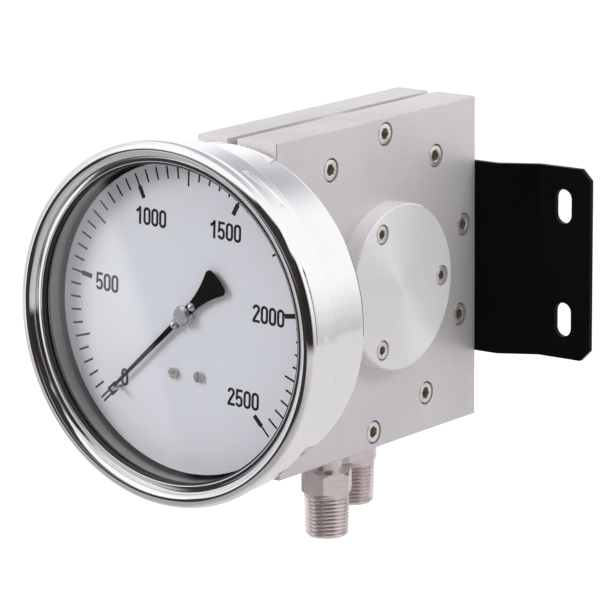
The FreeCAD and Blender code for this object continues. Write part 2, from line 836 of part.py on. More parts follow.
# Bezel: skirt, rolled edge, groove and inner lip in one sheet section
def bezel_ring():
    lip_front = lip_rear + bezel_sheet
    roll_middle = bezel_radius - bezel_roll_radius
    roll_height = lip_rear + bezel_roll_offset
    inner_roll = bezel_roll_radius - bezel_sheet
    skirt_inside = bezel_skirt_radius - bezel_sheet
    flare_start = roll_height - bezel_flare_length
    groove = roll_middle - bezel_roll_radius
    groove_end = groove - bezel_groove_width
    groove_floor = lip_front - bezel_groove_depth
    hem = groove + bezel_sheet
    path = [(skirt_inside, bezel_skirt_start), (bezel_skirt_radius, bezel_skirt_start),
            (bezel_skirt_radius, flare_start), (bezel_radius, roll_height),
            ((roll_middle, roll_height + bezel_roll_radius), (groove, roll_height)),
            (groove, groove_floor), (groove_end, groove_floor), (groove_end, lip_front),
            (bezel_window_radius + bezel_lip_round, lip_front),
            (bezel_window_radius, lip_front - bezel_lip_round), (bezel_window_radius, lip_rear),
            (hem, lip_rear), (hem, roll_height),
            ((roll_middle, roll_height + inner_roll), (bezel_radius - bezel_sheet, roll_height)),
            (skirt_inside, flare_start)]
    return gauge_turned(path, gauge_x, case_z).cut(bezel_beads())


# Pressed beads of the bayonet, spaced round the skirt and sloped along it
def bezel_beads():
    middle = ahead(gauge_x, case_z, bezel_skirt_start + bead_from_edge)
    forward = Vector(0, -1, 0)
    radius = (bead_width ** 2 / 4 + bead_depth ** 2) / (2 * bead_depth)
    reach = bezel_skirt_radius - bead_depth + radius
    near = (reach - radius, 0)
    path = [near, ((reach, radius), (reach + radius, 0)), ((reach, -radius), near)]
    beads = []
    for k in range(bead_count):
        bead = turned(path, middle, forward, -bead_sweep / 2, bead_sweep)
        bead.rotate(middle, Vector(1, 0, 0), bead_slope)
        bead.rotate(middle, forward, bead_first_angle + 360.0 * k / bead_count)
        beads.append(bead)
    return beads


# Dial
def dial_screw_places():
    return [(gauge_x + x, gauge_z - dial_screw_drop) for x in (-dial_screw_x, dial_screw_x)]


# A point on the dial at a reach and an angle from the top, turning with the clock
def dial_point(reach, angle):
    turn = math.radians(angle)
    return (gauge_x + reach * math.sin(turn), gauge_z + reach * math.cos(turn))


def stop_pin_place():
    narrowing = (pointer_root_width - pointer_tip_width) * stop_pin_reach / pointer_length
    half_width = (pointer_root_width - narrowing) / 2
    aside = half_width + stop_pin_radius + stop_pin_play
    return dial_point(stop_pin_reach, scale_start - math.degrees(aside / stop_pin_reach))


def dial_plate():
    body = gauge_rod(dial_radius, gauge_x, case_z, dial_rear, dial_front)
    cuts = [gauge_rod(pinion_shaft_radius + past, gauge_x, gauge_z, dial_rear - past, dial_front + past)]
    for x, z in dial_screw_places():
        cuts.append(gauge_rod(small_screw_radius + thread_play, x, z, dial_rear - past, dial_front + past))
    cuts.append(gauge_rod(stop_pin_radius, *stop_pin_place(), dial_rear - past, dial_front + past))
    return body.cut(cuts)


def dial_posts():
    posts = []
    for x, z in dial_screw_places():
        post = gauge_rod(dial_post_radius, x, z, front_plate_end, dial_rear)
        post = post.fuse(gauge_rod(spigot_radius, x, z, front_plate_start, front_plate_end))
        hole = gauge_rod(small_screw_radius + thread_play, x, z, dial_rear - small_screw_reach, dial_rear)
        posts.append(post.cut(hole).removeSplitter())
    return posts


def dial_screws():
    sizes = (dial_front, dial_screw_head, small_screw_head_height, small_screw_reach)
    return [slotted_screw(x, z, *sizes, turn) for (x, z), turn in zip(dial_screw_places(), dial_screw_turns)]


def zero_stop_pin():
    return gauge_rod(stop_pin_radius, *stop_pin_place(), dial_rear, dial_front + stop_pin_height)


# Pointer blade drawn pointing up: a needle and a fan-shaped tail, either side of the hub
def pointer_blade():
    root = pointer_root_width / 2
    tip = pointer_tip_width / 2
    neck = pointer_neck_width / 2
    tail = pointer_tail_width / 2
    edge = pointer_tail - pointer_tail_bow
    side = (neck + tail) / 2 - pointer_tail_hollow
    half_way = -(pointer_tail_start + edge) / 2
    needle = [(root, 0), (tip, pointer_length - tip),
              ((0, pointer_length), (-tip, pointer_length - tip)), (-root, 0)]
    fan = [(-neck, 0), (-neck, -pointer_tail_start), ((-side, half_way), (-tail, -edge)),
           ((0, -pointer_tail), (tail, -edge)), ((side, half_way), (neck, -pointer_tail_start)), (neck, 0)]
    halves = [pointer_flat(needle), pointer_flat(fan)]
    ends = [ahead(gauge_x + x, gauge_z - edge, (pointer_back + pointer_front) / 2) for x in (-tail, tail)]
    corners = []
    for line in halves[1].Edges:
        if min(line.CenterOfMass.distanceToPoint(end) for end in ends) < edge_match:
            corners.append(line)
    halves[1] = halves[1].makeFillet(pointer_tail_corner, corners)
    cuts = [gauge_rod(hub_radius, gauge_x, gauge_z, pointer_back - past, pointer_front + past)]
    cuts += rivet_holes(pointer_back, pointer_front)
    return [to_zero(half.cut(cuts)) for half in halves]


def pointer_flat(path):
    return gauge_flat([shift_step(step) for step in path], pointer_back, pointer_front)


def rivet_places():
    return [(gauge_x, gauge_z + z) for z in (-rivet_offset, rivet_offset)]


def rivet_holes(start, end):
    return [gauge_rod(rivet_shank_radius, x, z, start - past, end + past) for x, z in rivet_places()]


def shift_step(step):
    if isinstance(step[0], tuple):
        return tuple(shift_step(point) for point in step)
    return (gauge_x + step[0], gauge_z + step[1])


# Turns a pointer piece from upright to the zero of the scale
def to_zero(shape):
    shape.rotate(ahead(gauge_x, gauge_z, 0), Vector(0, 1, 0), scale_start)
    return shape


# Hub: a stepped drum on the pinion's shaft, with a strap behind the blade for the rivets
def pointer_hub():
    start = pointer_back - hub_strap_thickness
    step = pointer_front + hub_step
    front = pointer_front + hub_height
    below, above = rivet_places()
    body = strap(below, hub_strap_radius, above, hub_strap_radius, start, pointer_back)
    path = [(0, start), (hub_radius, start), (hub_radius, step), (hub_drum_radius, step),
            (hub_drum_radius, front - hub_bevel), (hub_drum_radius - hub_bevel, front),
            (hub_dimple_radius, front), (0, front - hub_dimple_depth)]
    body = body.fuse(gauge_turned(path, gauge_x, gauge_z))
    cuts = [gauge_rod(pinion_shaft_radius, gauge_x, gauge_z, start - past, front - hub_crown)]
    cuts += rivet_holes(start, pointer_back)
    return to_zero(body.cut(cuts).removeSplitter())


# Rivets with round heads
def pointer_rivets():
    dome = (rivet_radius ** 2 + rivet_height ** 2) / (2 * rivet_height)
    half = math.asin(rivet_radius / dome) / 2
    middle = (dome * math.sin(half), rivet_height - dome * (1 - math.cos(half)))
    shank = pointer_back - hub_strap_thickness - pointer_front
    path = [(0, shank), (rivet_shank_radius, shank), (rivet_shank_radius, 0), (rivet_radius, 0),
            (middle, (0, rivet_height))]
    return [to_zero(gauge_turned(path, x, z, pointer_front)) for x, z in rivet_places()]


# Gear teeth: involute flanks, drawn round the gear in the positive angle
def tooth_edges(middle, angle, pitch, base, root, tip, half_angle):
    def at(radius, turn):
        return Vector(middle[0] + radius * math.cos(turn), 0, middle[1] + radius * math.sin(turn))

    def unwound(radius):
        pressure = math.acos(base / radius)
        return math.tan(pressure) - pressure

    foot = max(base, root)
    radii = [foot + (tip - foot) * k / (flank_points - 1) for k in range(flank_points)]
    half = [half_angle + unwound(pitch) - unwound(radius) for radius in radii]
    rising = [at(radius, angle - h) for radius, h in zip(radii, half)]
    falling = [at(radius, angle + h) for radius, h in zip(reversed(radii), reversed(half))]
    edges = []
    if foot > root:
        edges.append(Part.makeLine(at(root, angle - half[0]), rising[0]))
    edges.append(flank(rising))
    edges.append(Part.Arc(rising[-1], at(tip, angle), falling[0]).toShape())
    edges.append(flank(falling))
    if foot > root:
        edges.append(Part.makeLine(falling[-1], at(root, angle + half[0])))
    return edges, angle - half[0], angle + half[0]


def flank(points):
    curve = Part.BSplineCurve()
    curve.interpolate(points)
    return curve.toShape()


# Edges of a run of teeth, joined by arcs along the root
def toothed_edges(middle, angles, pitch, root, tip, closed):
    base = pitch * math.cos(math.radians(pressure_angle))
    half_angle = (math.pi * gear_module / 2 - gear_backlash) / 2 / pitch
    edges = []
    ends = []
    for angle in angles:
        tooth, start, end = tooth_edges(middle, angle, pitch, base, root, tip, half_angle)
        ends.append((tooth, start, end))
    for k, (tooth, start, end) in enumerate(ends):
        edges += tooth
        if k + 1 < len(ends):
            edges.append(root_arc(middle, root, end, ends[k + 1][1]))
    if closed:
        edges.append(root_arc(middle, root, ends[-1][2], ends[0][1] + 2 * math.pi))
    return edges, ends[0][1], ends[-1][2]


def root_arc(middle, radius, start, end):
    points = [Vector(middle[0] + radius * math.cos(a), 0, middle[1] + radius * math.sin(a))
              for a in (start, (start + end) / 2, end)]
    return Part.Arc(*points).toShape()


def gear_solid(edges, start, end):
    solid = Part.Face(Part.Wire(edges)).extrude(Vector(0, start - end, 0))
    solid.translate(Vector(0, block_front - start, 0))
    return solid


def sector_gear():
    middle = (sector_x, sector_z)
    root = gear_centres - pinion_pitch_radius - pinion_addendum - root_clearance
    tip = sector_pitch_radius + sector_addendum
    pitch_angle = 2 * math.pi / sector_full_teeth
    mesh = math.radians(mesh_angle)
    first = mesh - (sector_teeth - 1 - sector_lead_teeth) * pitch_angle
    angles = [first + pitch_angle * k for k in range(sector_teeth)]
    edges, start, end = toothed_edges(middle, angles, sector_pitch_radius, root, tip, False)
    inner = root - sector_rim

    def at(radius, angle):
        return Vector(sector_x + radius * math.cos(angle), 0, sector_z + radius * math.sin(angle))

    edges.append(Part.makeLine(at(root, end), at(inner, end)))
    edges.append(root_arc(middle, inner, end, start))
    edges.append(Part.makeLine(at(inner, start), at(root, start)))
    sector_end = sector_start + sector_thickness
    body = gear_solid(edges, sector_start, sector_end)
    for angle in (start, end):
        lean = math.copysign(sector_arm_width / 2 / inner, (start + end) / 2 - angle)
        rim = at(inner + sector_rim / 2, angle + lean)
        arm = strap(middle, sector_arm_width / 2, (rim.x, rim.z), sector_rim / 2, sector_start, sector_end)
        body = body.fuse(arm)
    body = body.fuse(gauge_rod(sector_hub_radius, sector_x, sector_z, sector_start, sector_end))
    bore = gauge_rod(arbor_radius, sector_x, sector_z, sector_start - past, sector_end + past)
    return body.cut(bore).removeSplitter()


def sector_arbor():
    return gauge_rod(arbor_radius, sector_x, sector_z, arm_start - pin_stand, front_plate_end + pin_stand)


def sector_tail():
    eye = (tail_pin_x, link_z)
    end = arm_start + arm_thickness
    body = strap((sector_x, sector_z), tail_hub_radius, eye, tail_eye_radius, arm_start, end)
    cuts = [gauge_rod(arbor_radius, sector_x, sector_z, arm_start - past, end + past),
            gauge_rod(link_pin_radius, *eye, arm_start - past, end + past)]
    return body.cut(cuts)


def tail_pin():
    return gauge_rod(link_pin_radius, tail_pin_x, link_z, arm_start, pin_end)


# Pinion cut on its arbor, which carries the pointer in front and the hairspring collet
def pinion_arbor():
    middle = (gauge_x, gauge_z)
    root = gear_centres - sector_pitch_radius - sector_addendum - root_clearance
    tip = pinion_pitch_radius + pinion_addendum
    pitch_angle = 2 * math.pi / pinion_teeth
    first = math.radians(mesh_angle) + math.pi + pitch_angle / 2
    angles = [first + pitch_angle * k for k in range(pinion_teeth)]
    edges = toothed_edges(middle, angles, pinion_pitch_radius, root, tip, True)[0]
    body = gear_solid(edges, pinion_start, pinion_start + pinion_length)
    shaft_start = rear_plate_start - pin_stand
    shaft_end = pointer_front + hub_height - hub_crown
    body = body.fuse(gauge_rod(pinion_shaft_radius, gauge_x, gauge_z, shaft_start, shaft_end))
    body = body.fuse(gauge_rod(collet_radius, gauge_x, gauge_z, collet_start, collet_start + collet_length))
    return body.removeSplitter()


# Flat spiral spring that takes up the backlash, from beside the collet out to its stud
def spring_curve(offset):
    count = spring_points_per_turn * spring_turns
    points = []
    for k in range(count + 1):
        turn = 2 * math.pi * spring_turns * k / count
        radius = spring_inner + (spring_outer - spring_inner) * k / count + offset
        points.append(Vector(gauge_x + radius * math.cos(turn), 0, gauge_z + radius * math.sin(turn)))
    curve = Part.BSplineCurve()
    curve.interpolate(points)
    return curve.toShape(), points[0], points[-1]


def hairspring():
    inner, inner_start, inner_end = spring_curve(0)
    outer, outer_start, outer_end = spring_curve(spring_strip)
    edges = [inner, Part.makeLine(inner_end, outer_end), outer, Part.makeLine(outer_start, inner_start)]
    start = collet_start + (collet_length - spring_width) / 2
    return gear_solid(Part.__sortEdges__(edges), start, start + spring_width)


def hairspring_stud():
    reach = spring_outer + spring_strip + spring_stud_radius
    return gauge_rod(spring_stud_radius, gauge_x + reach, gauge_z, collet_start, front_plate_end)


# Movement plates: rounded rectangles round the gauge axis
def movement_plate(start, end, holes):
    left = gauge_x - movement_left
    right = gauge_x + movement_right
    low = gauge_z - movement_bottom
    high = gauge_z + movement_top
    body = box(left, right, block_front - end, block_front - start, low, high)
    upright = [edge for edge in body.Edges if abs(edge.Length - (end - start)) < thread_play]
    body = body.makeFillet(movement_corner, upright)
    cuts = [gauge_rod(radius, x, z, start - past, end + past) for radius, x, z in holes]
    return body.cut(cuts)


def bearing_holes():
    return [(pinion_shaft_radius + bearing_play, gauge_x, gauge_z),
            (arbor_radius + bearing_play, sector_x, sector_z)]


def movement_rear_plate():
    holes = bearing_holes()
    holes += [(spigot_radius, gauge_x + x, gauge_z + z) for x, z in pillar_places]
    holes += [(small_screw_radius + bolt_hole_play, gauge_x + x, gauge_z + z) for x, z in stand_places]
    return movement_plate(rear_plate_start, rear_plate_end, holes)


def movement_front_plate():
    holes = bearing_holes()
    holes += [(small_screw_radius + bolt_hole_play, gauge_x + x, gauge_z + z) for x, z in pillar_places]
    holes += [(spigot_radius, x, z) for x, z in dial_screw_places()]
    holes.append((spring_stud_radius, gauge_x + spring_outer + spring_strip + spring_stud_radius, gauge_z))
    return movement_plate(front_plate_start, front_plate_end, holes)


def movement_pillars():
    pillars = []
    hole_start = front_plate_start - small_screw_reach
    for dx, dz in pillar_places:
        x = gauge_x + dx
        z = gauge_z + dz
        post = gauge_rod(pillar_radius, x, z, rear_plate_end, front_plate_start)
        post = post.fuse(gauge_rod(spigot_radius, x, z, rear_plate_start, rear_plate_end))
        hole = gauge_rod(small_screw_radius + thread_play, x, z, hole_start, front_plate_start)
        pillars.append(post.cut(hole).removeSplitter())
    return pillars


def movement_screws():
    sizes = (front_plate_end, small_screw_head, small_screw_head_height, small_screw_reach)
    return [slotted_screw(gauge_x + x, gauge_z + z, *sizes) for x, z in pillar_places]


def movement_stands():
    stands = []
    hole_start = rear_plate_start - small_screw_reach
    for dx, dz in stand_places:
        x = gauge_x + dx
        z = gauge_z + dz
        post = gauge_rod(stand_radius, x, z, case_back, rear_plate_start)
        post = post.fuse(gauge_rod(spigot_radius, x, z, 0, case_back))
        hole = gauge_rod(small_screw_radius + thread_play, x, z, hole_start, rear_plate_start)
        stands.append(post.cut(hole).removeSplitter())
    return stands


def stand_screws():
    sizes = (rear_plate_end, small_screw_head, small_screw_head_height, small_screw_reach)
    return [slotted_screw(gauge_x + x, gauge_z + z, *sizes) for x, z in stand_places]


# Drive train
def torque_shaft():
    front = ahead(shaft_x, shaft_z, arm_start + arm_thickness)
    return rod(shaft_radius, front, Vector(shaft_x, lever_end, shaft_z))


def shaft_front_bush():
    start = ahead(shaft_x, shaft_z, -bush_length)
    return tube(bush_radius, shaft_radius + bearing_play, start, ahead(shaft_x, shaft_z, 0))


def shaft_seal():
    start = ahead(shaft_x, shaft_z, -bush_length - shaft_seal_length)
    return tube(bush_radius, shaft_radius + bearing_play, start, ahead(shaft_x, shaft_z, -bush_length))


def shaft_inner_bush():
    start = Vector(shaft_x, inner_bush_end - bush_length, shaft_z)
    return tube(bush_radius, shaft_radius + bearing_play, start, Vector(shaft_x, inner_bush_end, shaft_z))


def inner_lever():
    start = block_front - lever_end
    end = block_front - lever_start
    eye = (lever_pin_x, lever_pin_z)
    body = strap((shaft_x, shaft_z), lever_hub_radius, eye, lever_eye_radius, start, end)
    cuts = [gauge_rod(shaft_radius, shaft_x, shaft_z, start - past, end + past),
            gauge_rod(lever_pin_radius, *eye, start - past, end + past)]
    return body.cut(cuts)


def lever_pin():
    start = Vector(lever_pin_x, block_mid - tongue_thickness / 2 - lever_gap, lever_pin_z)
    return rod(lever_pin_radius, start, Vector(lever_pin_x, lever_end, lever_pin_z))


def output_arm():
    end = arm_start + arm_thickness
    body = strap((shaft_x, shaft_z), arm_hub_radius, (arm_pin_x, link_z), arm_eye_radius, arm_start, end)
    cuts = [gauge_rod(shaft_radius, shaft_x, shaft_z, arm_start - past, end + past),
            gauge_rod(link_pin_radius, arm_pin_x, link_z, arm_start - past, end + past)]
    return body.cut(cuts)


def arm_pin():
    return gauge_rod(link_pin_radius, arm_pin_x, link_z, arm_start, pin_end)


# The link turns on the arm's pin and takes the tail's pin in a short upright slot
def drive_link():
    ends = ((arm_pin_x, link_z), (tail_pin_x, link_z))
    body = strap(ends[0], link_eye_radius, ends[1], link_eye_radius, link_start, link_end)
    width = link_pin_radius + link_slot_play
    start = link_start - past
    end = link_end + past
    low = link_z - link_slot_rise
    high = link_z + link_slot_rise
    cuts = [gauge_rod(link_pin_radius + bearing_play, *ends[0], start, end)]
    for z in (low, high):
        cuts.append(gauge_rod(width, tail_pin_x, z, start, end))
    left = tail_pin_x - width
    right = tail_pin_x + width
    cuts.append(box(left, right, block_front - end, block_front - start, low, high))
    return body.cut(cuts)


pieces = [right_block, left_block, block_bolts, block_washers, block_nuts, clamp_ring_right,
          clamp_ring_left, diaphragm, centre_disc_right, centre_disc_left, centre_stud, stud_nut,
          side_cover, side_cover_seal, side_cover_screws, front_port_nipple, rear_port_nipple,
          wall_bracket, bracket_screws, gauge_case, case_screws, blowout_plug, window_gasket,
          window_glass, bezel_ring, dial_plate, dial_posts, dial_screws, zero_stop_pin, pointer_blade,
          pointer_hub, pointer_rivets, sector_gear, sector_arbor, sector_tail, tail_pin, pinion_arbor,
          hairspring, hairspring_stud, movement_rear_plate, movement_front_plate, movement_pillars,
          movement_screws, movement_stands, stand_screws, torque_shaft, shaft_front_bush, shaft_seal,
          shaft_inner_bush, inner_lever, lever_pin, output_arm, arm_pin, drive_link]

os.makedirs("parts", exist_ok=True)
for piece in pieces:
    shape = piece()
    if isinstance(shape, list):
        shape = Part.makeCompound(shape)
    shape.exportStep("parts/" + piece.__name__ + ".step")
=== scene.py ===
import json
import math

import bmesh
import bpy
from mathutils import Matrix, Vector


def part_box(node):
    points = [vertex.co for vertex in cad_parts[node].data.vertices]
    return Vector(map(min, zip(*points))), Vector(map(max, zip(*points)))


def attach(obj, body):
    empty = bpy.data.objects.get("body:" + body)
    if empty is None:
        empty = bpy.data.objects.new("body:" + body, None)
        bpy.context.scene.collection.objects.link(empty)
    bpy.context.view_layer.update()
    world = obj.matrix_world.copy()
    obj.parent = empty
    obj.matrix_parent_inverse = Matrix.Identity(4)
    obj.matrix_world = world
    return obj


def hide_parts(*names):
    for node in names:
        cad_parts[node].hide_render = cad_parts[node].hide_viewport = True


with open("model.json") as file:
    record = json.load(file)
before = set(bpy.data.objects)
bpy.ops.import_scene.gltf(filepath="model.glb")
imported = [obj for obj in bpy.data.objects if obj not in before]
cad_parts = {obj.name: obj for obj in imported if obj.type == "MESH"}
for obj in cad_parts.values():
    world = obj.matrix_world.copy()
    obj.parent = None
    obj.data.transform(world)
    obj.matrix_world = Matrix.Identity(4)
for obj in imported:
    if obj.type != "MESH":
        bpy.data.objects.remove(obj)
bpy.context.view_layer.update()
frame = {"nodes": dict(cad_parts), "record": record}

scene = bpy.context.scene
scene.view_settings.view_transform = "Standard"

mm = 0.001
weld = 1e-6  # points of one mesh that lie closer than this are one
seamWeld = 2e-6  # the same where loose triangles are sewn together
cadNodes = frame["nodes"]
record = frame["record"]
bodyOf = {node: body for body, names in record["behaviour"]["bodies"].items() for node in names}
slotOf = {row["node"]: row["material_slot"] for row in record["subparts"]}


def middleOf(node):
    low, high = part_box(node)
    return [(a + b) / 2 for a, b in zip(low, high)]


caseX, _, caseZ = middleOf("bezel_ring")
hubX, _, hubZ = middleOf("pointer_hub")
pointerX, pointerZ = hubX - caseX, hubZ - caseZ
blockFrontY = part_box("right_block")[0].y


def at(x, depth, z):
    # right of the case's middle, in front of the block, above the middle, all in mm
    return Vector((caseX + x * mm, blockFrontY - depth * mm, caseZ + z * mm))


def depthOf(node, front=True):
    low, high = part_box(node)
    return (blockFrontY - (low.y if front else high.y)) / mm


# mesh helpers
def tidyMesh(mesh, sharpAngle):
    mesh.shade_smooth()
    mesh.set_sharp_from_angle(angle=math.radians(sharpAngle))


def addPiece(name, mesh):
    piece = bpy.data.objects.new(name, mesh)
    scene.collection.objects.link(piece)
    return piece


def meshFrom(name, verts, faces, material, sharpAngle=35, thickness=0):
    mesh = bpy.data.meshes.new(name)
    mesh.from_pydata([tuple(v) for v in verts], [], faces)
    bm = bmesh.new()
    bm.from_mesh(mesh)
    bmesh.ops.remove_doubles(bm, verts=bm.verts, dist=weld)
    bmesh.ops.recalc_face_normals(bm, faces=bm.faces)
    if thickness:
        bmesh.ops.solidify(bm, geom=bm.faces[:], thickness=thickness)
        bmesh.ops.recalc_face_normals(bm, faces=bm.faces)
    bm.to_mesh(mesh)
    bm.free()
    tidyMesh(mesh, sharpAngle)
    mesh.materials.append(material)
    return addPiece(name, mesh)


def bake(piece):
    # the evaluated piece as a plain mesh, with its modifiers gone
    graph = bpy.context.evaluated_depsgraph_get()
    mesh = bpy.data.meshes.new_from_object(piece.evaluated_get(graph), preserve_all_data_layers=True,
                                           depsgraph=graph)
    piece.modifiers.clear()
    piece.data = mesh
    return piece


def mergedCopy(node, drop=None):
    # fresh mesh without the loaded normals, its loose triangles sewn together
    source = cadNodes[node].data
    mesh = bpy.data.meshes.new(node + "Smooth")
    mesh.from_pydata([v.co for v in source.vertices], [], [tuple(f.vertices) for f in source.polygons])
    bm = bmesh.new()
    bm.from_mesh(mesh)
    bmesh.ops.remove_doubles(bm, verts=bm.verts, dist=seamWeld)
    if drop:
        bmesh.ops.delete(bm, geom=[f for f in bm.faces if drop(f)], context="FACES")
    bm.to_mesh(mesh)
    bm.free()
    return mesh


def stand(piece, node):
    # rides with the node's body and stands for it
    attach(piece, bodyOf[node])
    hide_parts(node)
    return piece


def smoothCopy(node, material, sharpAngle=30):
    mesh = mergedCopy(node)
    tidyMesh(mesh, sharpAngle)
    mesh.materials.append(material)
    piece = addPiece(node + "Smooth", mesh)
    weighted = piece.modifiers.new("faceNormals", "WEIGHTED_NORMAL")
    weighted.keep_sharp = True
    return stand(bake(piece), node)


def addFinish(piece, material, chosen):
    # a second material on the faces that the test picks
    piece.data.materials.append(material)
    for face in piece.data.polygons:
        if chosen(face):
            face.material_index = 1


def arc(centreR, centreD, radius, fromAngle, toAngle, count):
    # points on a circle, with the angles in degrees
    found = []
    for i in range(count + 1):
        a = math.radians(fromAngle + (toAngle - fromAngle) * i / count)
        found.append((centreR + radius * math.cos(a), centreD + radius * math.sin(a)))
    return found


def steps(start, end, count):
    return [(start[0] + (end[0] - start[0]) * i / count, start[1] + (end[1] - start[1]) * i / count)
            for i in range(count + 1)]


def lathe(name, profile, around, material, push, sharpAngle):
    # closed profile of radius and depth, spun about the case's axis
    verts, faces, n = [], [], len(profile)
    for i in range(around):
        a = 2 * math.pi * i / around
        for r, d in profile:
            r = push(r, d, a)
            verts.append(at(r * math.cos(a), d, r * math.sin(a)))
    for i in range(around):
        j = (i + 1) % around
        for k in range(n):
            faces.append((i * n + k, i * n + (k + 1) % n, j * n + (k + 1) % n, j * n + k))
    return meshFrom(name, verts, faces, material, sharpAngle)


def joined(name, pieces, material, sharpAngle=35):
    bm = bmesh.new()
    for piece in pieces:
        bm.from_mesh(piece.data)
        bpy.data.objects.remove(piece)
    mesh = bpy.data.meshes.new(name)
    bm.to_mesh(mesh)
    bm.free()
    tidyMesh(mesh, sharpAngle)
    mesh.materials.clear()
    mesh.materials.append(material)
    return addPiece(name, mesh)


# node helpers
def newTree(name, kind, inputs, outputs):
    tree = bpy.data.node_groups.new(name, kind)
    for label, socket, value in inputs:
        made = tree.interface.new_socket(label, in_out="INPUT", socket_type=socket)
        if value is not None:
            made.default_value = value
    for label, socket in outputs:
        tree.interface.new_socket(label, in_out="OUTPUT", socket_type=socket)
    return tree, tree.nodes.new("NodeGroupInput"), tree.nodes.new("NodeGroupOutput")


def feed(tree, node, inputs):
    # sockets are linked, plain values are set
    for key, value in inputs.items():
        if isinstance(value, bpy.types.NodeSocket):
            tree.links.new(value, node.inputs[key])
        else:
            node.inputs[key].default_value = value


def put(tree, kind, inputs=None, **settings):
    node = tree.nodes.new(kind)
    for key, value in settings.items():
        setattr(node, key, value)
    feed(tree, node, inputs or {})
    return node


def calc(tree, operation, *values):
    return put(tree, "ShaderNodeMath", dict(enumerate(values)), operation=operation).outputs[0]


def blend(tree, factor, one, other):
    # a mix node's colour sockets go by number
    return put(tree, "ShaderNodeMix", {"Factor": factor, 6: one, 7: other}, data_type="RGBA").outputs[2]


def newMaterial(name):
    material = bpy.data.materials.new(name)
    material.use_nodes = True
    return material, material.node_tree, material.node_tree.nodes["Principled BSDF"]


def endTree(tree, out, geometry, centre, finish):
    # real faces at their place, with their material
    real = put(tree, "GeometryNodeRealizeInstances", {"Geometry": geometry})
    placed = put(tree, "GeometryNodeTransform", {"Geometry": real.outputs[0], "Translation": centre})
    done = put(tree, "GeometryNodeSetMaterial", {"Geometry": placed.outputs[0], "Material": finish})
    tree.links.new(done.outputs[0], out.inputs[0])
    return tree


def runTree(tree, name, values):
    piece = addPiece(name, bpy.data.meshes.new(name))
    modifier = piece.modifiers.new(tree.name, "NODES")
    modifier.node_group = tree
    known = {item.name: item.identifier for item in tree.interface.items_tree
             if item.item_type == "SOCKET" and item.in_out == "INPUT"}
    for label, value in values.items():
        modifier[known[label]] = value
    return bake(piece)


# shared surface effects
def brushGroup():
    tree, inp, out = newTree("brushLines", "ShaderNodeTree",
                             [("Vector", "NodeSocketVector", None), ("Fineness", "NodeSocketFloat", 1.0),
                              ("Breakup", "NodeSocketFloat", 0.6)], [("Lines", "NodeSocketFloat")])
    noise = put(tree, "ShaderNodeTexNoise", {"Vector": inp.outputs["Vector"], "Scale": inp.outputs["Fineness"],
                                             "Detail": 4.0, "Roughness": inp.outputs["Breakup"]})
    ramp = put(tree, "ShaderNodeMapRange", {"Value": noise.outputs["Fac"], "From Min": 0.3, "From Max": 0.7})
    tree.links.new(ramp.outputs["Result"], out.inputs["Lines"])
    return tree


def marksGroup():
    tree, inp, out = newTree("handledMarks", "ShaderNodeTree",
                             [("Vector", "NodeSocketVector", None), ("Size", "NodeSocketFloat", 20.0),
                              ("Spread", "NodeSocketFloat", 0.5)], [("Marks", "NodeSocketFloat")])
    noise = put(tree, "ShaderNodeTexNoise", {"Vector": inp.outputs["Vector"], "Scale": inp.outputs["Size"],
                                             "Detail": 5.0, "Roughness": 0.62})
    strongest = 0.75
    low = calc(tree, "SUBTRACT", strongest, inp.outputs["Spread"])
    ramp = put(tree, "ShaderNodeMapRange", {"Value": noise.outputs["Fac"], "From Min": low,
                                            "From Max": strongest}, interpolation_type="SMOOTHSTEP")
    tree.links.new(ramp.outputs["Result"], out.inputs["Marks"])
    return tree


brushLines = brushGroup()
handledMarks = marksGroup()
reliefHeight = 0.05 * mm
acrossMarks = 0.25  # quarter turn: the mirror spreads across the tool marks
plainLook = dict(metal=1.0, specular=0.5, anisotropic=0.0, turnedAxis=None, relief=0.0, markSize=25.0,
                 markSpread=0.35, lineShare=0.5, markShare=0.5)


def surface(name, changes):
    # a finish with grain lines and handling marks in its colour, gloss and relief
    look = {**plainLook, **changes}
    material, tree, shader = newMaterial(name)
    place = put(tree, "ShaderNodeTexCoord").outputs["Object"]
    grain = put(tree, "ShaderNodeMapping", {"Vector": place, "Scale": look["grain"]}).outputs["Vector"]
    lines = put(tree, "ShaderNodeGroup", {"Vector": grain}, node_tree=brushLines).outputs["Lines"]
    marks = put(tree, "ShaderNodeGroup", {"Vector": place, "Size": look["markSize"], "Spread": look["markSpread"]},
                node_tree=handledMarks).outputs["Marks"]
    both = calc(tree, "ADD", calc(tree, "MULTIPLY", lines, look["lineShare"]),
                calc(tree, "MULTIPLY", marks, look["markShare"]))
    gloss = put(tree, "ShaderNodeMapRange", {"Value": both, "To Min": look["rough"][0], "To Max": look["rough"][1]})
    feed(tree, shader, {"Metallic": look["metal"], "Specular IOR Level": look["specular"],
                        "Anisotropic": look["anisotropic"], "Roughness": gloss.outputs["Result"],
                        "Base Color": blend(tree, both, (*look["base"], 1), (*look["worn"], 1))})
    if look["relief"]:
        bump = put(tree, "ShaderNodeBump", {"Height": lines, "Strength": look["relief"], "Distance": reliefHeight})
        tree.links.new(bump.outputs["Normal"], shader.inputs["Normal"])
    if look["turnedAxis"]:
        tangent = put(tree, "ShaderNodeTangent", direction_type="RADIAL", axis=look["turnedAxis"])
        feed(tree, shader, {"Tangent": tangent.outputs["Tangent"], "Anisotropic Rotation": acrossMarks})
    return material


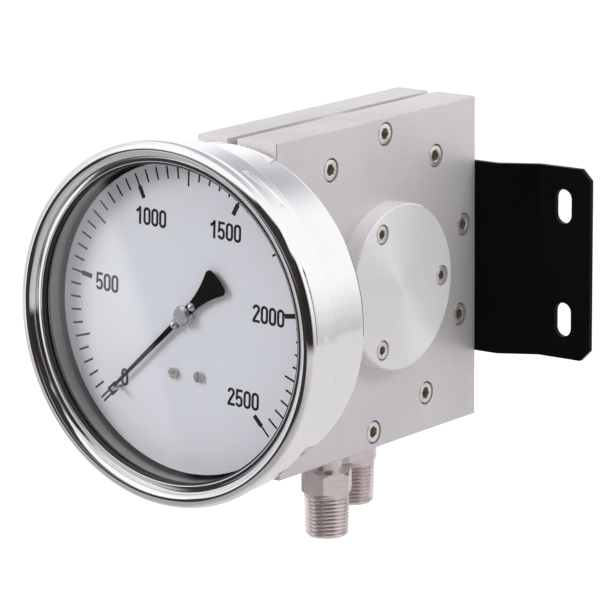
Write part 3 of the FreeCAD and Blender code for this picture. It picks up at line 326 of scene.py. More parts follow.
finishes = {
    "machined_steel": dict(base=(0.70, 0.672, 0.69), worn=(0.595, 0.568, 0.583), rough=(0.38, 0.54), metal=0.5,
                           specular=0.3, grain=(900, 60, 900), relief=0.05, markSize=16, markSpread=0.4,
                           lineShare=0.25, markShare=0.7),
    "polished_steel": dict(base=(0.90, 0.90, 0.905), worn=(0.84, 0.84, 0.85), rough=(0.035, 0.085),
                           grain=(300, 300, 300), markSize=30, lineShare=0.3),
    "bolt_steel": dict(base=(0.82, 0.79, 0.77), worn=(0.60, 0.555, 0.525), rough=(0.16, 0.30), metal=0.66,
                       grain=(1500, 1500, 1500), relief=0.06, markSize=120),
    "turned_steel": dict(base=(0.80, 0.73, 0.72), worn=(0.61, 0.54, 0.52), rough=(0.20, 0.33), metal=0.90,
                         grain=(120, 120, 3200), relief=0.08, markSize=90),
    "inner_steel": dict(base=(0.58, 0.58, 0.59), worn=(0.48, 0.48, 0.49), rough=(0.28, 0.42),
                        grain=(900, 900, 900), relief=0.05),
    "pointer_silver": dict(base=(0.75, 0.755, 0.79), worn=(0.62, 0.62, 0.645), rough=(0.22, 0.34), metal=0.88,
                           grain=(1800, 1800, 1800), relief=0.04, markSize=200),
    "black_paint": dict(base=(0.0022, 0.0022, 0.0024), worn=(0.004, 0.004, 0.0043), rough=(0.34, 0.48),
                        metal=0.0, specular=0.06, grain=(1400, 1400, 1400), relief=0.10, markSize=30),
    "black_zinc": dict(base=(0.030, 0.030, 0.031), worn=(0.055, 0.053, 0.050), rough=(0.30, 0.45), metal=0.6,
                       grain=(1600, 1600, 1600), relief=0.06, markSize=150),
    "rubber": dict(base=(0.016, 0.016, 0.016), worn=(0.028, 0.028, 0.028), rough=(0.55, 0.75), metal=0.0,
                   grain=(1200, 1200, 1200), relief=0.12, markSize=60),
    "dial_white": dict(base=(0.775, 0.785, 0.845), worn=(0.745, 0.755, 0.815), rough=(0.32, 0.42), metal=0.0,
                       grain=(1100, 1100, 1100), markSize=16),
    "pointer_black": dict(base=(0.003, 0.003, 0.003), worn=(0.006, 0.006, 0.006), rough=(0.42, 0.55), metal=0.0,
                          specular=0.06, grain=(1500, 1500, 1500), relief=0.05, markSize=80),
    "brass": dict(base=(0.72, 0.53, 0.24), worn=(0.58, 0.42, 0.19), rough=(0.24, 0.40),
                  grain=(900, 900, 900), relief=0.06, markSize=60),
    "spring_bronze": dict(base=(0.66, 0.44, 0.23), worn=(0.54, 0.35, 0.18), rough=(0.24, 0.36),
                          grain=(900, 900, 900), relief=0.04, markSize=60),
}
finishOf = {slot: surface(slot, look) for slot, look in finishes.items()}
# painted shade: the inside's dark grey colour stands in for the shade inside the deep case, on a satin finish
caseInsideShade = surface("caseInsideShade", dict(base=(0.37, 0.37, 0.37), worn=(0.31, 0.31, 0.31), rough=(0.30, 0.42),
                                        grain=(400, 400, 400), relief=0.05, markSize=25))
coverFace = surface("coverFace", dict(base=(0.84, 0.825, 0.84), worn=(0.77, 0.755, 0.765), rough=(0.30, 0.40),
                                      metal=0.32, specular=0.3, grain=(600, 500, 500), relief=0.03, markSize=20,
                                      anisotropic=0.85, turnedAxis="X"))
coverWall = surface("coverWall", dict(base=(0.90, 0.88, 0.88), worn=(0.87, 0.85, 0.85), rough=(0.22, 0.30),
                                      metal=0.5, grain=(2500, 120, 120), relief=0.01, markSize=40))
# painted shade: a darker brown finish for the faces down inside the screw sockets, where shade falls
socketShade = surface("socketShade", dict(base=(0.58, 0.49, 0.41), worn=(0.34, 0.28, 0.23), rough=(0.30, 0.48),
                                          metal=0.75, grain=(1500, 1500, 1500), relief=0.05, markSize=300))
dialScrew = surface("dialScrew", dict(base=(0.76, 0.745, 0.72), worn=(0.56, 0.54, 0.51), rough=(0.22, 0.36),
                                      metal=0.9, grain=(1500, 1500, 1500), relief=0.05, markSize=300))
dialInk = surface("dialInk", dict(base=(0.012, 0.012, 0.013), worn=(0.020, 0.020, 0.021), rough=(0.42, 0.55),
                                  metal=0.0, specular=0.2, grain=(1500, 1500, 1500), markSize=150))
glass = dict(tint=(0.96, 0.98, 0.98), index=1.5, mirrors=1.9, smearSize=18.0, smearRough=0.02, smearMirror=0.01)


def windowGlass():
    # a thin clear sheet: only its faint mirror shows, and light goes straight through
    material, tree, shader = newMaterial("windowGlass")
    place = put(tree, "ShaderNodeTexCoord").outputs["Object"]
    smears = put(tree, "ShaderNodeGroup", {"Vector": place, "Size": glass["smearSize"]},
                 node_tree=handledMarks).outputs["Marks"]
    rough = put(tree, "ShaderNodeMapRange", {"Value": smears, "To Min": 0.0, "To Max": glass["smearRough"]})
    mirror = calc(tree, "MULTIPLY", put(tree, "ShaderNodeFresnel", {"IOR": glass["index"]}).outputs[0],
                  glass["mirrors"])
    outer = calc(tree, "SUBTRACT", 1.0, put(tree, "ShaderNodeNewGeometry").outputs["Backfacing"])
    both = calc(tree, "MULTIPLY_ADD", smears, glass["smearMirror"], mirror)  # front and back mirror in one
    feed(tree, shader, {"Base Color": (*glass["tint"], 1), "Metallic": 1.0, "Roughness": rough.outputs["Result"],
                        "Alpha": calc(tree, "MULTIPLY", both, outer)})
    return material


finishOf["window"] = windowGlass()
for node, piece in cadNodes.items():
    piece.data.materials.clear()
    piece.data.materials.append(finishOf[slotOf[node]])
print("finishes ready:", len(bpy.data.materials))

# bezel ring
bezelLow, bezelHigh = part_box("bezel_ring")
bezelRadius = (bezelHigh.x - bezelLow.x) / 2 / mm
bezelFront = depthOf("bezel_ring")
bezelRear = depthOf("bezel_ring", False)
bezel = dict(around=540, skirtRows=36, skirt=81.5, sheet=1.2, rearRound=0.3, rearRun=0.7, flareLength=4.6,
             flareRun=0.4, flareSteps=((0.12, 0.8), (0.45, 2.0)), roll=3.6, rollFrom=-14, lipDrop=3.8, lipRound=0.5,
             grooveWidth=0.7, grooveDepth=0.5, grooveEdge=0.1, window=72.9, sharp=40, near=0.01, beads=6,
             firstBead=-5.8, sweep=16.8, slope=6.3, width=3.6, depth=0.35, beadUp=6.4, beadFall=0.8)


def pressBeads(r, d, a):
    # six sloped beads pressed into the outside of the skirt
    if r < bezel["skirt"] - bezel["near"] or d > bezelRear + 2 * bezel["beadUp"]:
        return r
    turn = 360 / bezel["beads"]
    off = (math.degrees(a) - bezel["firstBead"] + turn / 2) % turn - turn / 2
    along = math.radians(off) * bezel["skirt"]
    across = d - bezelRear - bezel["beadUp"] - math.tan(math.radians(bezel["slope"])) * along
    past = max(0.0, abs(along) - math.radians(bezel["sweep"] / 2) * bezel["skirt"] + bezel["width"] / 2)
    share = math.hypot(across, past) / (bezel["width"] / 2)
    return r - bezel["depth"] * max(0.0, 1 - share * share) ** bezel["beadFall"]


def bezelSection():
    # rear edge, skirt, flare, roll, groove, lip and back again along the inside, as radius and depth
    skirt, sheet, roll, rear = bezel["skirt"], bezel["sheet"], bezel["roll"], bezel["rearRound"]
    rollR, rollD = bezelRadius - roll, bezelFront - roll
    flare, lip = rollD - bezel["flareLength"], bezelFront - bezel["lipDrop"]
    window, soft, edge = bezel["window"], bezel["lipRound"], bezel["grooveEdge"]
    groove, grooveFloor = rollR - roll, lip - bezel["grooveDepth"]
    grooveInner = groove - bezel["grooveWidth"]
    found = [(skirt - sheet, bezelRear), (skirt - rear, bezelRear)]
    found += arc(skirt - rear, bezelRear + rear, rear, -60, 0, 3)
    found += steps((skirt, bezelRear + bezel["rearRun"]), (skirt, flare - bezel["flareRun"]), bezel["skirtRows"])
    found += [(skirt + out, flare + up) for out, up in bezel["flareSteps"]]
    found += arc(rollR, rollD, roll, bezel["rollFrom"], 180, 30)
    found += [(groove, grooveFloor), (grooveInner, grooveFloor), (grooveInner, lip - edge), (grooveInner - edge, lip)]
    found += [(window + soft, lip)] + arc(window + soft, lip - soft, soft, 100, 180, 4)
    found += [(window, lip - sheet), (groove + sheet, lip - sheet)]
    found += arc(rollR, rollD, roll - sheet, 180, 0, 12)
    return found + [(skirt - sheet, flare)]


bezelRing = lathe("bezelRing", bezelSection(), bezel["around"], finishOf["polished_steel"], pressBeads,
                  bezel["sharp"])
stand(bezelRing, "bezel_ring")

# case, with a satin inside whose dark grey tone is painted shade of the deep inner wall
caseHollow = dict(radius=73.6, floor=1.5)


def inHollow(face):
    reach = math.hypot(face.center.x - caseX, face.center.z - caseZ) / mm
    return reach < caseHollow["radius"] and (blockFrontY - face.center.y) / mm > caseHollow["floor"]


# the faces inside the hollow take the painted shade
addFinish(smoothCopy("gauge_case", finishOf["polished_steel"]), caseInsideShade, inHollow)
print("case and bezel ready")

# scale on the dial
dial = dict(turn=2.2, first=-135.0, step=5.4, spans=5, perSpan=10, outer=67.3, minor=61.4, medium=58.5,
            barInner=55.5, barWidth=2.2, thin=0.95, zeroInner=60.4, zeroAside=1.0, zeroBlock=4.4, ink=0.04, rise=0.75)
dialFront = depthOf("dial_plate")
inkMiddle = dialFront + dial["ink"] * (dial["rise"] - 0.5)
inkTop = dialFront + dial["ink"] * dial["rise"]
zeroAt = dial["first"] + dial["turn"]
spanTurn = dial["step"] * dial["perSpan"]


def scaleTree():
    tree, inp, out = newTree("scaleMarks", "GeometryNodeTree",
                             [("Count", "NodeSocketInt", 51), ("First", "NodeSocketFloat", -135.0),
                              ("Step", "NodeSocketFloat", 5.4), ("Inner", "NodeSocketFloat", 0.06),
                              ("Outer", "NodeSocketFloat", 0.067), ("Width", "NodeSocketFloat", 0.0006),
                              ("Thickness", "NodeSocketFloat", 0.0001), ("Side", "NodeSocketFloat", 0.0),
                              ("Centre", "NodeSocketVector", None), ("Ink", "NodeSocketMaterial", None)],
                             [("Geometry", "NodeSocketGeometry")])
    take = inp.outputs
    size = put(tree, "ShaderNodeCombineXYZ", {"X": take["Width"], "Y": take["Thickness"],
                                              "Z": calc(tree, "SUBTRACT", take["Outer"], take["Inner"])})
    bar = put(tree, "GeometryNodeMeshCube", {"Size": size.outputs[0]})
    middle = calc(tree, "MULTIPLY", calc(tree, "ADD", take["Outer"], take["Inner"]), 0.5)
    shift = put(tree, "ShaderNodeCombineXYZ", {"X": take["Side"], "Z": middle})
    moved = put(tree, "GeometryNodeTransform", {"Geometry": bar.outputs["Mesh"], "Translation": shift.outputs[0]})
    spots = put(tree, "GeometryNodePoints", {"Count": take["Count"]})
    index = put(tree, "GeometryNodeInputIndex").outputs[0]
    angle = calc(tree, "RADIANS", calc(tree, "MULTIPLY_ADD", index, take["Step"], take["First"]))
    turn = put(tree, "ShaderNodeCombineXYZ", {"Y": angle})
    marks = put(tree, "GeometryNodeInstanceOnPoints", {"Points": spots.outputs[0], "Instance": moved.outputs[0],
                                                       "Rotation": turn.outputs[0]})
    return endTree(tree, out, marks.outputs[0], take["Centre"], take["Ink"])


scaleMarks = scaleTree()
scaleCentre = tuple(at(pointerX / mm, inkMiddle, pointerZ / mm))


def marksRow(name, count, first, step, inner, outer, width, side=0.0):
    return runTree(scaleMarks, name, {"Count": count, "First": first, "Step": step, "Inner": inner * mm,
                                      "Outer": outer * mm, "Width": width * mm, "Side": side * mm,
                                      "Thickness": dial["ink"] * mm, "Centre": scaleCentre, "Ink": dialInk})


def scaleRows():
    step, spans, aside = dial["step"], dial["spans"], dial["zeroAside"]
    outer, minor, bar, thin = dial["outer"], dial["minor"], dial["barInner"], dial["thin"]
    return [
        marksRow("minorMarks", spans * dial["perSpan"], zeroAt + step, step, minor, outer, thin),
        marksRow("mediumMarks", spans, zeroAt + spanTurn / 2, spanTurn, dial["medium"], minor, thin),
        marksRow("majorBars", spans, zeroAt + spanTurn, spanTurn, bar, minor, dial["barWidth"]),
        marksRow("zeroLeft", 1, zeroAt, 0.0, dial["zeroInner"], outer, thin, -aside),
        marksRow("zeroRight", 1, zeroAt, 0.0, dial["zeroInner"], outer, thin, aside),
        marksRow("zeroBlock", 1, zeroAt, 0.0, bar, minor, dial["zeroBlock"]),
    ]


dialScale = joined("dialScale", scaleRows(), dialInk)
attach(dialScale, bodyOf["dial_plate"])

# numbers round the scale
numbers = dict(step=500, height=8.2, width=4.1, pitch=4.5, stroke=1.27, ring=46.5, zeroRing=49.4, least=0.02,
               sharpest=0.45)


def glyphPath(digit):
    # middle line of each stroke, in mm from the digit's lower left corner
    s = numbers["stroke"] / 2
    w, h = numbers["width"], numbers["height"]
    left, low, high, mid = s, s, h - s, w / 2
    r = mid - s
    if digit == "0":
        return [(arc(mid, high - r, r, 0, 180, 14) + arc(mid, low + r, r, 180, 360, 14), True)]
    if digit == "1":
        stem = [(mid + 0.55, 0.0), (mid + 0.55, h)]
        flag = [(mid + 0.75, high - 0.1), (left - 0.1, high - 1.9)]
        return [(stem, False), (flag, False)]
    if digit == "2":
        top = arc(mid, high - r, r, 186, -28, 18)
        return [(top + [(left + 0.15, low + 0.75), (left + 0.05, low), (w, low)], False)]
    bowl = arc(mid - 0.05, low + 2.55, r, 128, 0, 10) + arc(mid - 0.05, low + r, r, 0, -172, 14)
    return [([(w - 0.2, high), (left + 0.25, high), (left + 0.05, low + 3.25)] + bowl, False)]


def ribbon(points, closed, half):
    # both edges of a stroke with even width, mitred at its corners
    edges, n = [], len(points)
    for i, (x, y) in enumerate(points):
        back = points[i - 1] if (closed or i) else None
        ahead = points[(i + 1) % n] if (closed or i < n - 1) else None
        runs = []
        if back:
            runs.append(Vector((x - back[0], y - back[1])).normalized())
        if ahead:
            runs.append(Vector((ahead[0] - x, ahead[1] - y)).normalized())
        side = sum((Vector((-q.y, q.x)) for q in runs), Vector((0, 0))).normalized()
        reach = half / max(numbers["sharpest"], side.dot(Vector((-runs[0].y, runs[0].x))))
        edges.append((Vector((x, y)) + side * reach, Vector((x, y)) - side * reach))
    return edges


def drawNumbers():
    verts, faces = [], []
    turn = math.radians(dial["turn"])
    for k in range(dial["spans"] + 1):
        word = str(numbers["step"] * k)
        a = math.radians(zeroAt + spanTurn * k)
        ring = numbers["ring"] if k else numbers["zeroRing"]
        midX, midZ = ring * math.sin(a), ring * math.cos(a)
        startX = -((len(word) - 1) * numbers["pitch"] + numbers["width"]) / 2
        strokes = [(i, path, closed) for i, digit in enumerate(word) for path, closed in glyphPath(digit)]
        for i, path, closed in strokes:
            first = len(verts)
            clean = [p for q, p in enumerate(path)
                     if q == 0 or (Vector(p) - Vector(path[q - 1])).length > numbers["least"]]
            edges = ribbon(clean, closed, numbers["stroke"] / 2)
            for p in (p for pair in edges for p in pair):
                x = startX + i * numbers["pitch"] + p.x
                z = p.y - numbers["height"] / 2
                placeX = midX + x * math.cos(turn) + z * math.sin(turn) + pointerX / mm
                placeZ = midZ - x * math.sin(turn) + z * math.cos(turn) + pointerZ / mm
                verts.append(at(placeX, inkTop, placeZ))
            for j in range(len(edges) if closed else len(edges) - 1):
                after = (j + 1) % len(edges)
                faces.append((first + 2 * j, first + 2 * after, first + 2 * after + 1, first + 2 * j + 1))
    return meshFrom("dialNumbers", verts, faces, dialInk, thickness=dial["ink"] * mm)


dialNumbers = drawNumbers()
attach(dialNumbers, bodyOf["dial_plate"])
print("dial printed")

# socket screws
blockBolt = dict(count=10, head=10.0, headHeight=6.0, hexAcross=5.0, socket=3.4, shank=6.0, circle=140.0,
                 first=14.0, seed=7)
coverScrew = dict(count=3, head=8.5, headHeight=5.0, hexAcross=4.0, socket=2.8, shank=5.0, circle=63.0,
                  first=0.0, seed=3)
socketForm = dict(sides=48, bevel=0.07, lead=0.5, mouth=1.10, mouthDepth=0.25, cone=0.6, sharp=30, shadeReach=0.56,
                  shadeUnder=0.15, shadeBelow=1.0)


def socketScrew(name, look, top, tip, material):
    # head outwards along +X, its middle line through the origin
    sides, lead = socketForm["sides"], socketForm["lead"]
    turns = [2 * math.pi * i / sides for i in range(sides)]
    r, bevel, shank = look["head"] / 2, socketForm["bevel"] * look["head"], look["shank"] / 2
    under, socketFloor = top - look["headHeight"], top - look["socket"]
    rows = [(r - bevel, top)] + arc(r - bevel, top - bevel, bevel, 60, 0, 2)
    rows += [(r, under), (shank, under), (shank, tip + lead), (shank - lead, tip), (0.0, tip)]
    hexRows = [(socketForm["mouth"], top), (1.0, top - socketForm["mouthDepth"]), (1.0, socketFloor),
               (0.0, socketFloor - socketForm["cone"])]
    verts, faces = [], []
    for r0, x in rows:
        verts += [(x, r0 * math.cos(a), r0 * math.sin(a)) for a in turns]
    for share, x in hexRows:
        for a in turns:
            off = (a + math.pi / 6) % (math.pi / 3) - math.pi / 6
            r0 = share * look["hexAcross"] / 2 / math.cos(off)
            verts.append((x, r0 * math.cos(a), r0 * math.sin(a)))
    order = list(range(len(rows) - 1, -1, -1)) + [len(rows) + i for i in range(len(hexRows))]
    for a, b in zip(order, order[1:]):
        for i in range(sides):
            j = (i + 1) % sides
            faces.append((a * sides + i, a * sides + j, b * sides + j, b * sides + i))
    return meshFrom(name, [Vector(v) * mm for v in verts], faces, material, socketForm["sharp"])


def screwTree():
    tree, inp, out = newTree("screwCircle", "GeometryNodeTree",
                             [("Screw", "NodeSocketObject", None), ("Count", "NodeSocketInt", 10),
                              ("Radius", "NodeSocketFloat", 0.07), ("First", "NodeSocketFloat", 0.0),
                              ("Seed", "NodeSocketInt", 1), ("Centre", "NodeSocketVector", None),
                              ("Finish", "NodeSocketMaterial", None)], [("Geometry", "NodeSocketGeometry")])
    take = inp.outputs
    index = put(tree, "GeometryNodeInputIndex").outputs[0]
    step = calc(tree, "DIVIDE", 360.0, take["Count"])
    angle = calc(tree, "RADIANS", calc(tree, "MULTIPLY_ADD", index, step, take["First"]))
    across = calc(tree, "MULTIPLY", calc(tree, "COSINE", angle), take["Radius"])
    up = calc(tree, "MULTIPLY", calc(tree, "SINE", angle), take["Radius"])
    spot = put(tree, "ShaderNodeCombineXYZ", {"Y": across, "Z": up})
    points = put(tree, "GeometryNodePoints", {"Count": take["Count"], "Position": spot.outputs[0]})
    source = put(tree, "GeometryNodeObjectInfo", {"Object": take["Screw"]}).outputs["Geometry"]
    # a random value's upper limit for plain numbers is its socket 3
    spin = put(tree, "FunctionNodeRandomValue", {3: 2 * math.pi, "Seed": take["Seed"]}, data_type="FLOAT")
    turn = put(tree, "ShaderNodeCombineXYZ", {"X": spin.outputs[1]})
    screws = put(tree, "GeometryNodeInstanceOnPoints", {"Points": points.outputs[0], "Instance": source,
                                                        "Rotation": turn.outputs[0]})
    return endTree(tree, out, screws.outputs[0], take["Centre"], take["Finish"])


screwCircle = screwTree()


def screwRing(name, look, node, middle):
    low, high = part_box(node)
    finish = finishOf[slotOf[node]]
    radius, wedge = look["circle"] / 2 * mm, 2 * math.pi / look["count"]
    source = socketScrew(name + "Source", look, high.x / mm, low.x / mm, finish)
    ring = runTree(screwCircle, name, {"Screw": source, "Count": look["count"], "Radius": radius,
                                       "First": look["first"], "Seed": look["seed"], "Centre": tuple(middle),
                                       "Finish": finish})
    bpy.data.objects.remove(source)
    # the faces down in each socket are the ones that take the painted shade
    shadeTop = high.x - socketForm["shadeUnder"] * mm
    shadeFloor = high.x - (look["socket"] + socketForm["shadeBelow"]) * mm
    shadeReach = socketForm["shadeReach"] * look["hexAcross"] * mm

    def inSocket(face):
        off = face.center - middle
        aside = (math.atan2(off.z, off.y) - math.radians(look["first"]) + wedge / 2) % wedge - wedge / 2
        out = math.hypot(off.y, off.z)
        reach = math.hypot(out * math.cos(aside) - radius, out * math.sin(aside))
        return reach < shadeReach and shadeTop > face.center.x > shadeFloor

    # the faces down in each socket take the darker finish, a painted shade
    addFinish(ring, socketShade, inSocket)
    stand(ring, node)


blockY = middleOf("right_block")[1]
coverY, coverZ = middleOf("side_cover")[1:]
screwRing("blockBolts", blockBolt, "block_bolts", Vector((0, blockY, 0)))
screwRing("coverScrews", coverScrew, "side_cover_screws", Vector((0, coverY, coverZ)))
print("screws placed")

# threaded nipples
thread = dict(top=-96.4, bottom=-114.5, topRadius=10.65, bottomRadius=10.05, pitch=1.814, depth=1.05, flat=0.12,
              around=72, perTurn=8, turns=11, collarRadius=9.9, collar=9.6, runOut=10.4, near=0.02, sharp=28)


def threadTree():
    tree, inp, out = newTree("taperThread", "GeometryNodeTree",
                             [("Around", "NodeSocketInt", 73), ("Rows", "NodeSocketInt", 89),
                              ("Turns", "NodeSocketFloat", 11.0), ("Pitch", "NodeSocketFloat", 0.0018),
                              ("Depth", "NodeSocketFloat", 0.001), ("Top", "NodeSocketFloat", 0.0),
                              ("Length", "NodeSocketFloat", 0.018), ("Top radius", "NodeSocketFloat", 0.0106),
                              ("Bottom radius", "NodeSocketFloat", 0.01), ("Centre", "NodeSocketVector", None),
                              ("Finish", "NodeSocketMaterial", None)], [("Geometry", "NodeSocketGeometry")])
    take = inp.outputs
    grid = put(tree, "GeometryNodeMeshGrid", {"Size X": 1.0, "Size Y": 1.0, "Vertices X": take["Around"],
                                              "Vertices Y": take["Rows"]})
    here = put(tree, "ShaderNodeSeparateXYZ", {0: put(tree, "GeometryNodeInputPosition").outputs[0]}).outputs
    around = calc(tree, "ADD", here["X"], 0.5)
    row = calc(tree, "MULTIPLY", calc(tree, "ADD", here["Y"], 0.5), take["Turns"])
    full = calc(tree, "DIVIDE", take["Length"], take["Pitch"])
    along = calc(tree, "MAXIMUM", calc(tree, "MINIMUM", calc(tree, "SUBTRACT", row, around), full), 0.0)
    share = calc(tree, "DIVIDE", along, full)
    cone = calc(tree, "MULTIPLY_ADD", share, calc(tree, "SUBTRACT", take["Bottom radius"], take["Top radius"]),
                take["Top radius"])
    wave = calc(tree, "ABSOLUTE", calc(tree, "MULTIPLY_ADD", calc(tree, "FRACT", row), 2.0, -1.0))
    crest = put(tree, "ShaderNodeMapRange", {"Value": wave, "From Min": thread["flat"],
                                             "From Max": 1 - thread["flat"]}).outputs["Result"]
    left = calc(tree, "MINIMUM", along, calc(tree, "SUBTRACT", full, along))
    fade = calc(tree, "MINIMUM", calc(tree, "MULTIPLY", left, 2.0), 1.0)  # half a turn of run-out at either end
    cut = calc(tree, "MULTIPLY", calc(tree, "SUBTRACT", 1.0, crest), fade)
    radius = calc(tree, "SUBTRACT", cone, calc(tree, "MULTIPLY", cut, take["Depth"]))
    turn = calc(tree, "MULTIPLY", around, 2 * math.pi)
    spot = put(tree, "ShaderNodeCombineXYZ", {
        "X": calc(tree, "MULTIPLY", calc(tree, "COSINE", turn), radius),
        "Y": calc(tree, "MULTIPLY", calc(tree, "SINE", turn), radius),
        "Z": calc(tree, "SUBTRACT", take["Top"], calc(tree, "MULTIPLY", along, take["Pitch"]))})
    shaped = put(tree, "GeometryNodeSetPosition", {"Geometry": grid.outputs["Mesh"], "Position": spot.outputs[0]})
    sewn = put(tree, "GeometryNodeMergeByDistance", {"Geometry": shaped.outputs[0], "Distance": weld})
    return endTree(tree, out, sewn.outputs[0], take["Centre"], take["Finish"])


taperThread = threadTree()


def sewRims(bm, rims, middle):
    # strip of triangles between two rims that lie on each other, in order round the axis
    def turn(v):
        return math.atan2(v.co.y - middle.y, v.co.x - middle.x)

    rings = [sorted(rim, key=turn) for rim in rims]
    last = [ring[-1] for ring in rings]
    order = sorted((turn(v), side, k) for side, ring in enumerate(rings) for k, v in enumerate(ring))
    for _, side, k in order:
        bm.faces.new((last[side], rings[side][k], last[1 - side]))
        last[side] = rings[side][k]


def threadedNipple(name, node):
    middleX, middleY, _ = middleOf(node)
    middle = Vector((middleX, middleY, 0))
    near, finish = thread["near"], finishOf[slotOf[node]]

    def outOf(v):
        return math.hypot(v.co.x - middle.x, v.co.y - middle.y) / mm

    def onCone(face):
        return all(outOf(v) > thread["collarRadius"] and v.co.z / mm < thread["top"] + near for v in face.verts)

    body = addPiece(name + "Body", mergedCopy(node, onCone))
    for v in body.data.vertices:
        out = outOf(v)
        if abs(out - thread["collar"]) < near and v.co.z / mm > thread["top"] - near:
            grow = thread["runOut"] / out
            v.co = middle + Vector(((v.co.x - middle.x) * grow, (v.co.y - middle.y) * grow, v.co.z))
    helix = runTree(taperThread, name + "Thread", {
        "Around": thread["around"] + 1, "Rows": thread["perTurn"] * thread["turns"] + 1,
        "Turns": float(thread["turns"]), "Pitch": thread["pitch"] * mm, "Depth": thread["depth"] * mm,
        "Top": thread["top"] * mm, "Length": (thread["top"] - thread["bottom"]) * mm,
        "Top radius": thread["topRadius"] * mm, "Bottom radius": thread["bottomRadius"] * mm,
        "Centre": tuple(middle), "Finish": finish})
    bm = bmesh.new()
    bm.from_mesh(body.data)
    ofBody = set(bm.verts)
    bm.from_mesh(helix.data)
    bpy.data.objects.remove(helix)
    for height in (thread["top"], thread["bottom"]):
        rim = {v for edge in bm.edges if edge.is_boundary for v in edge.verts if abs(v.co.z / mm - height) < near}
        sewRims(bm, (rim & ofBody, rim - ofBody), middle)
    bmesh.ops.remove_doubles(bm, verts=bm.verts, dist=seamWeld)
    bmesh.ops.recalc_face_normals(bm, faces=bm.faces)
    bm.to_mesh(body.data)
    bm.free()
    stand(joined(name, [body], finish, thread["sharp"]), node)


threadedNipple("frontNipple", "front_port_nipple")
threadedNipple("rearNipple", "rear_port_nipple")
print("nipples threaded")

# pieces that keep their shape and get smooth faces
coverRim = 0.5  # the cover's faces with a smaller share of their normal along X are its rim
addFinish(smoothCopy("side_cover", coverFace), coverWall, lambda face: abs(face.normal.x) < coverRim)
smoothCopy("dial_screws", dialScrew)
for node in ("right_block", "left_block", "clamp_ring_right", "clamp_ring_left", "wall_bracket", "bracket_screws",
             "block_nuts", "block_washers", "window_gasket", "blowout_plug", "pointer_hub", "pointer_blade",
             "pointer_rivets", "dial_plate", "zero_stop_pin", "pinion_arbor"):
    smoothCopy(node, finishOf[slotOf[node]])

# stage and light
stage = dict(floorZ=-0.60, floorSize=6.0, floorTone=0.82, floorRough=0.9, floorBoost=0.64, worldLight=0.48)


def pale(tree):
    # what the camera and mirrors see of the background is white
    path = put(tree, "ShaderNodeLightPath").outputs
    seen = calc(tree, "MAXIMUM", path["Is Camera Ray"], path["Is Glossy Ray"])
    return calc(tree, "MAXIMUM", seen, path["Is Transmission Ray"])


def makeFloor():
    material, tree, shader = newMaterial("paleFloor")
    tone, s, z = stage["floorTone"], stage["floorSize"], stage["floorZ"]
    feed(tree, shader, {"Base Color": (tone, tone, tone, 1), "Roughness": stage["floorRough"],
                        "Specular IOR Level": 0.0, "Emission Color": (1, 1, 1, 1),
                        "Emission Strength": calc(tree, "MULTIPLY", pale(tree), stage["floorBoost"])})
    floor = meshFrom("floor", [(-s, -s, z), (s, -s, z), (s, s, z), (-s, s, z)], [(0, 1, 2, 3)], material)


def makeWorld():
    world = bpy.data.worlds.new("studio")
    scene.world = world
    world.use_nodes = True
    tree = world.node_tree
    strength = put(tree, "ShaderNodeMapRange", {"Value": pale(tree), "To Min": stage["worldLight"], "To Max": 1.0})
    feed(tree, tree.nodes["Background"], {"Color": (1, 1, 1, 1), "Strength": strength.outputs["Result"]})


# studio that only mirrors see, on a ball round the gauge: turns to the right of straight ahead and heights
# above the level in degrees, each patch laid over the ones before it
studio = dict(middle=(0.0, -0.12, 0.0), radius=0.5, around=128, rows=64, tone=(1.07, 1.07, 1.08))
studioPatches = [
    dict(name="wallFoot", turns=(70, 215), heights=(-60, 0), soft=(20, 16), tone=(0.60, 0.585, 0.60)),
    dict(name="table", turns=(-180, 180), heights=(-120, -12), soft=(1, 2.5), tone=(0.68, 0.655, 0.675)),
    dict(name="rightTable", turns=(85, 215), heights=(-120, -13), soft=(20, 1.5), tone=(0.77, 0.745, 0.765)),
    dict(name="leftTable", turns=(-150, -92), heights=(-44, -6), soft=(16, 9), tone=(0.84, 0.83, 0.84)),
    dict(name="nearTable", turns=(-80, 50), heights=(-62, -18), soft=(40, 10), tone=(0.44, 0.415, 0.42)),
    dict(name="leftShade", turns=(-80, -44), heights=(-12, 12), soft=(10, 7), tone=(0.64, 0.64, 0.68)),
    dict(name="leftHaze", turns=(-98, -52), heights=(10, 44), soft=(14, 10), tone=(0.82, 0.82, 0.87)),
    dict(name="topShade", turns=(-180, 180), heights=(70, 110), soft=(1, 8), tone=(0.56, 0.55, 0.60)),
    dict(name="rearShade", turns=(165, 268), heights=(42, 90), soft=(20, 10), tone=(0.53, 0.52, 0.57)),
    dict(name="darkSide", turns=(0, 90), heights=(-11, 34), soft=(12, 4), tone=(0.028, 0.023, 0.021)),
    dict(name="darkSlope", turns=(-4, 53), heights=(4, 50), soft=(6, 4), lean=-1.34,
         tone=(0.040, 0.034, 0.033)),
    dict(name="darkFront", turns=(-33.6, 14), heights=(-27, 3), soft=(0.6, 5), lean=0.3,
         tone=(0.040, 0.034, 0.034)),
]


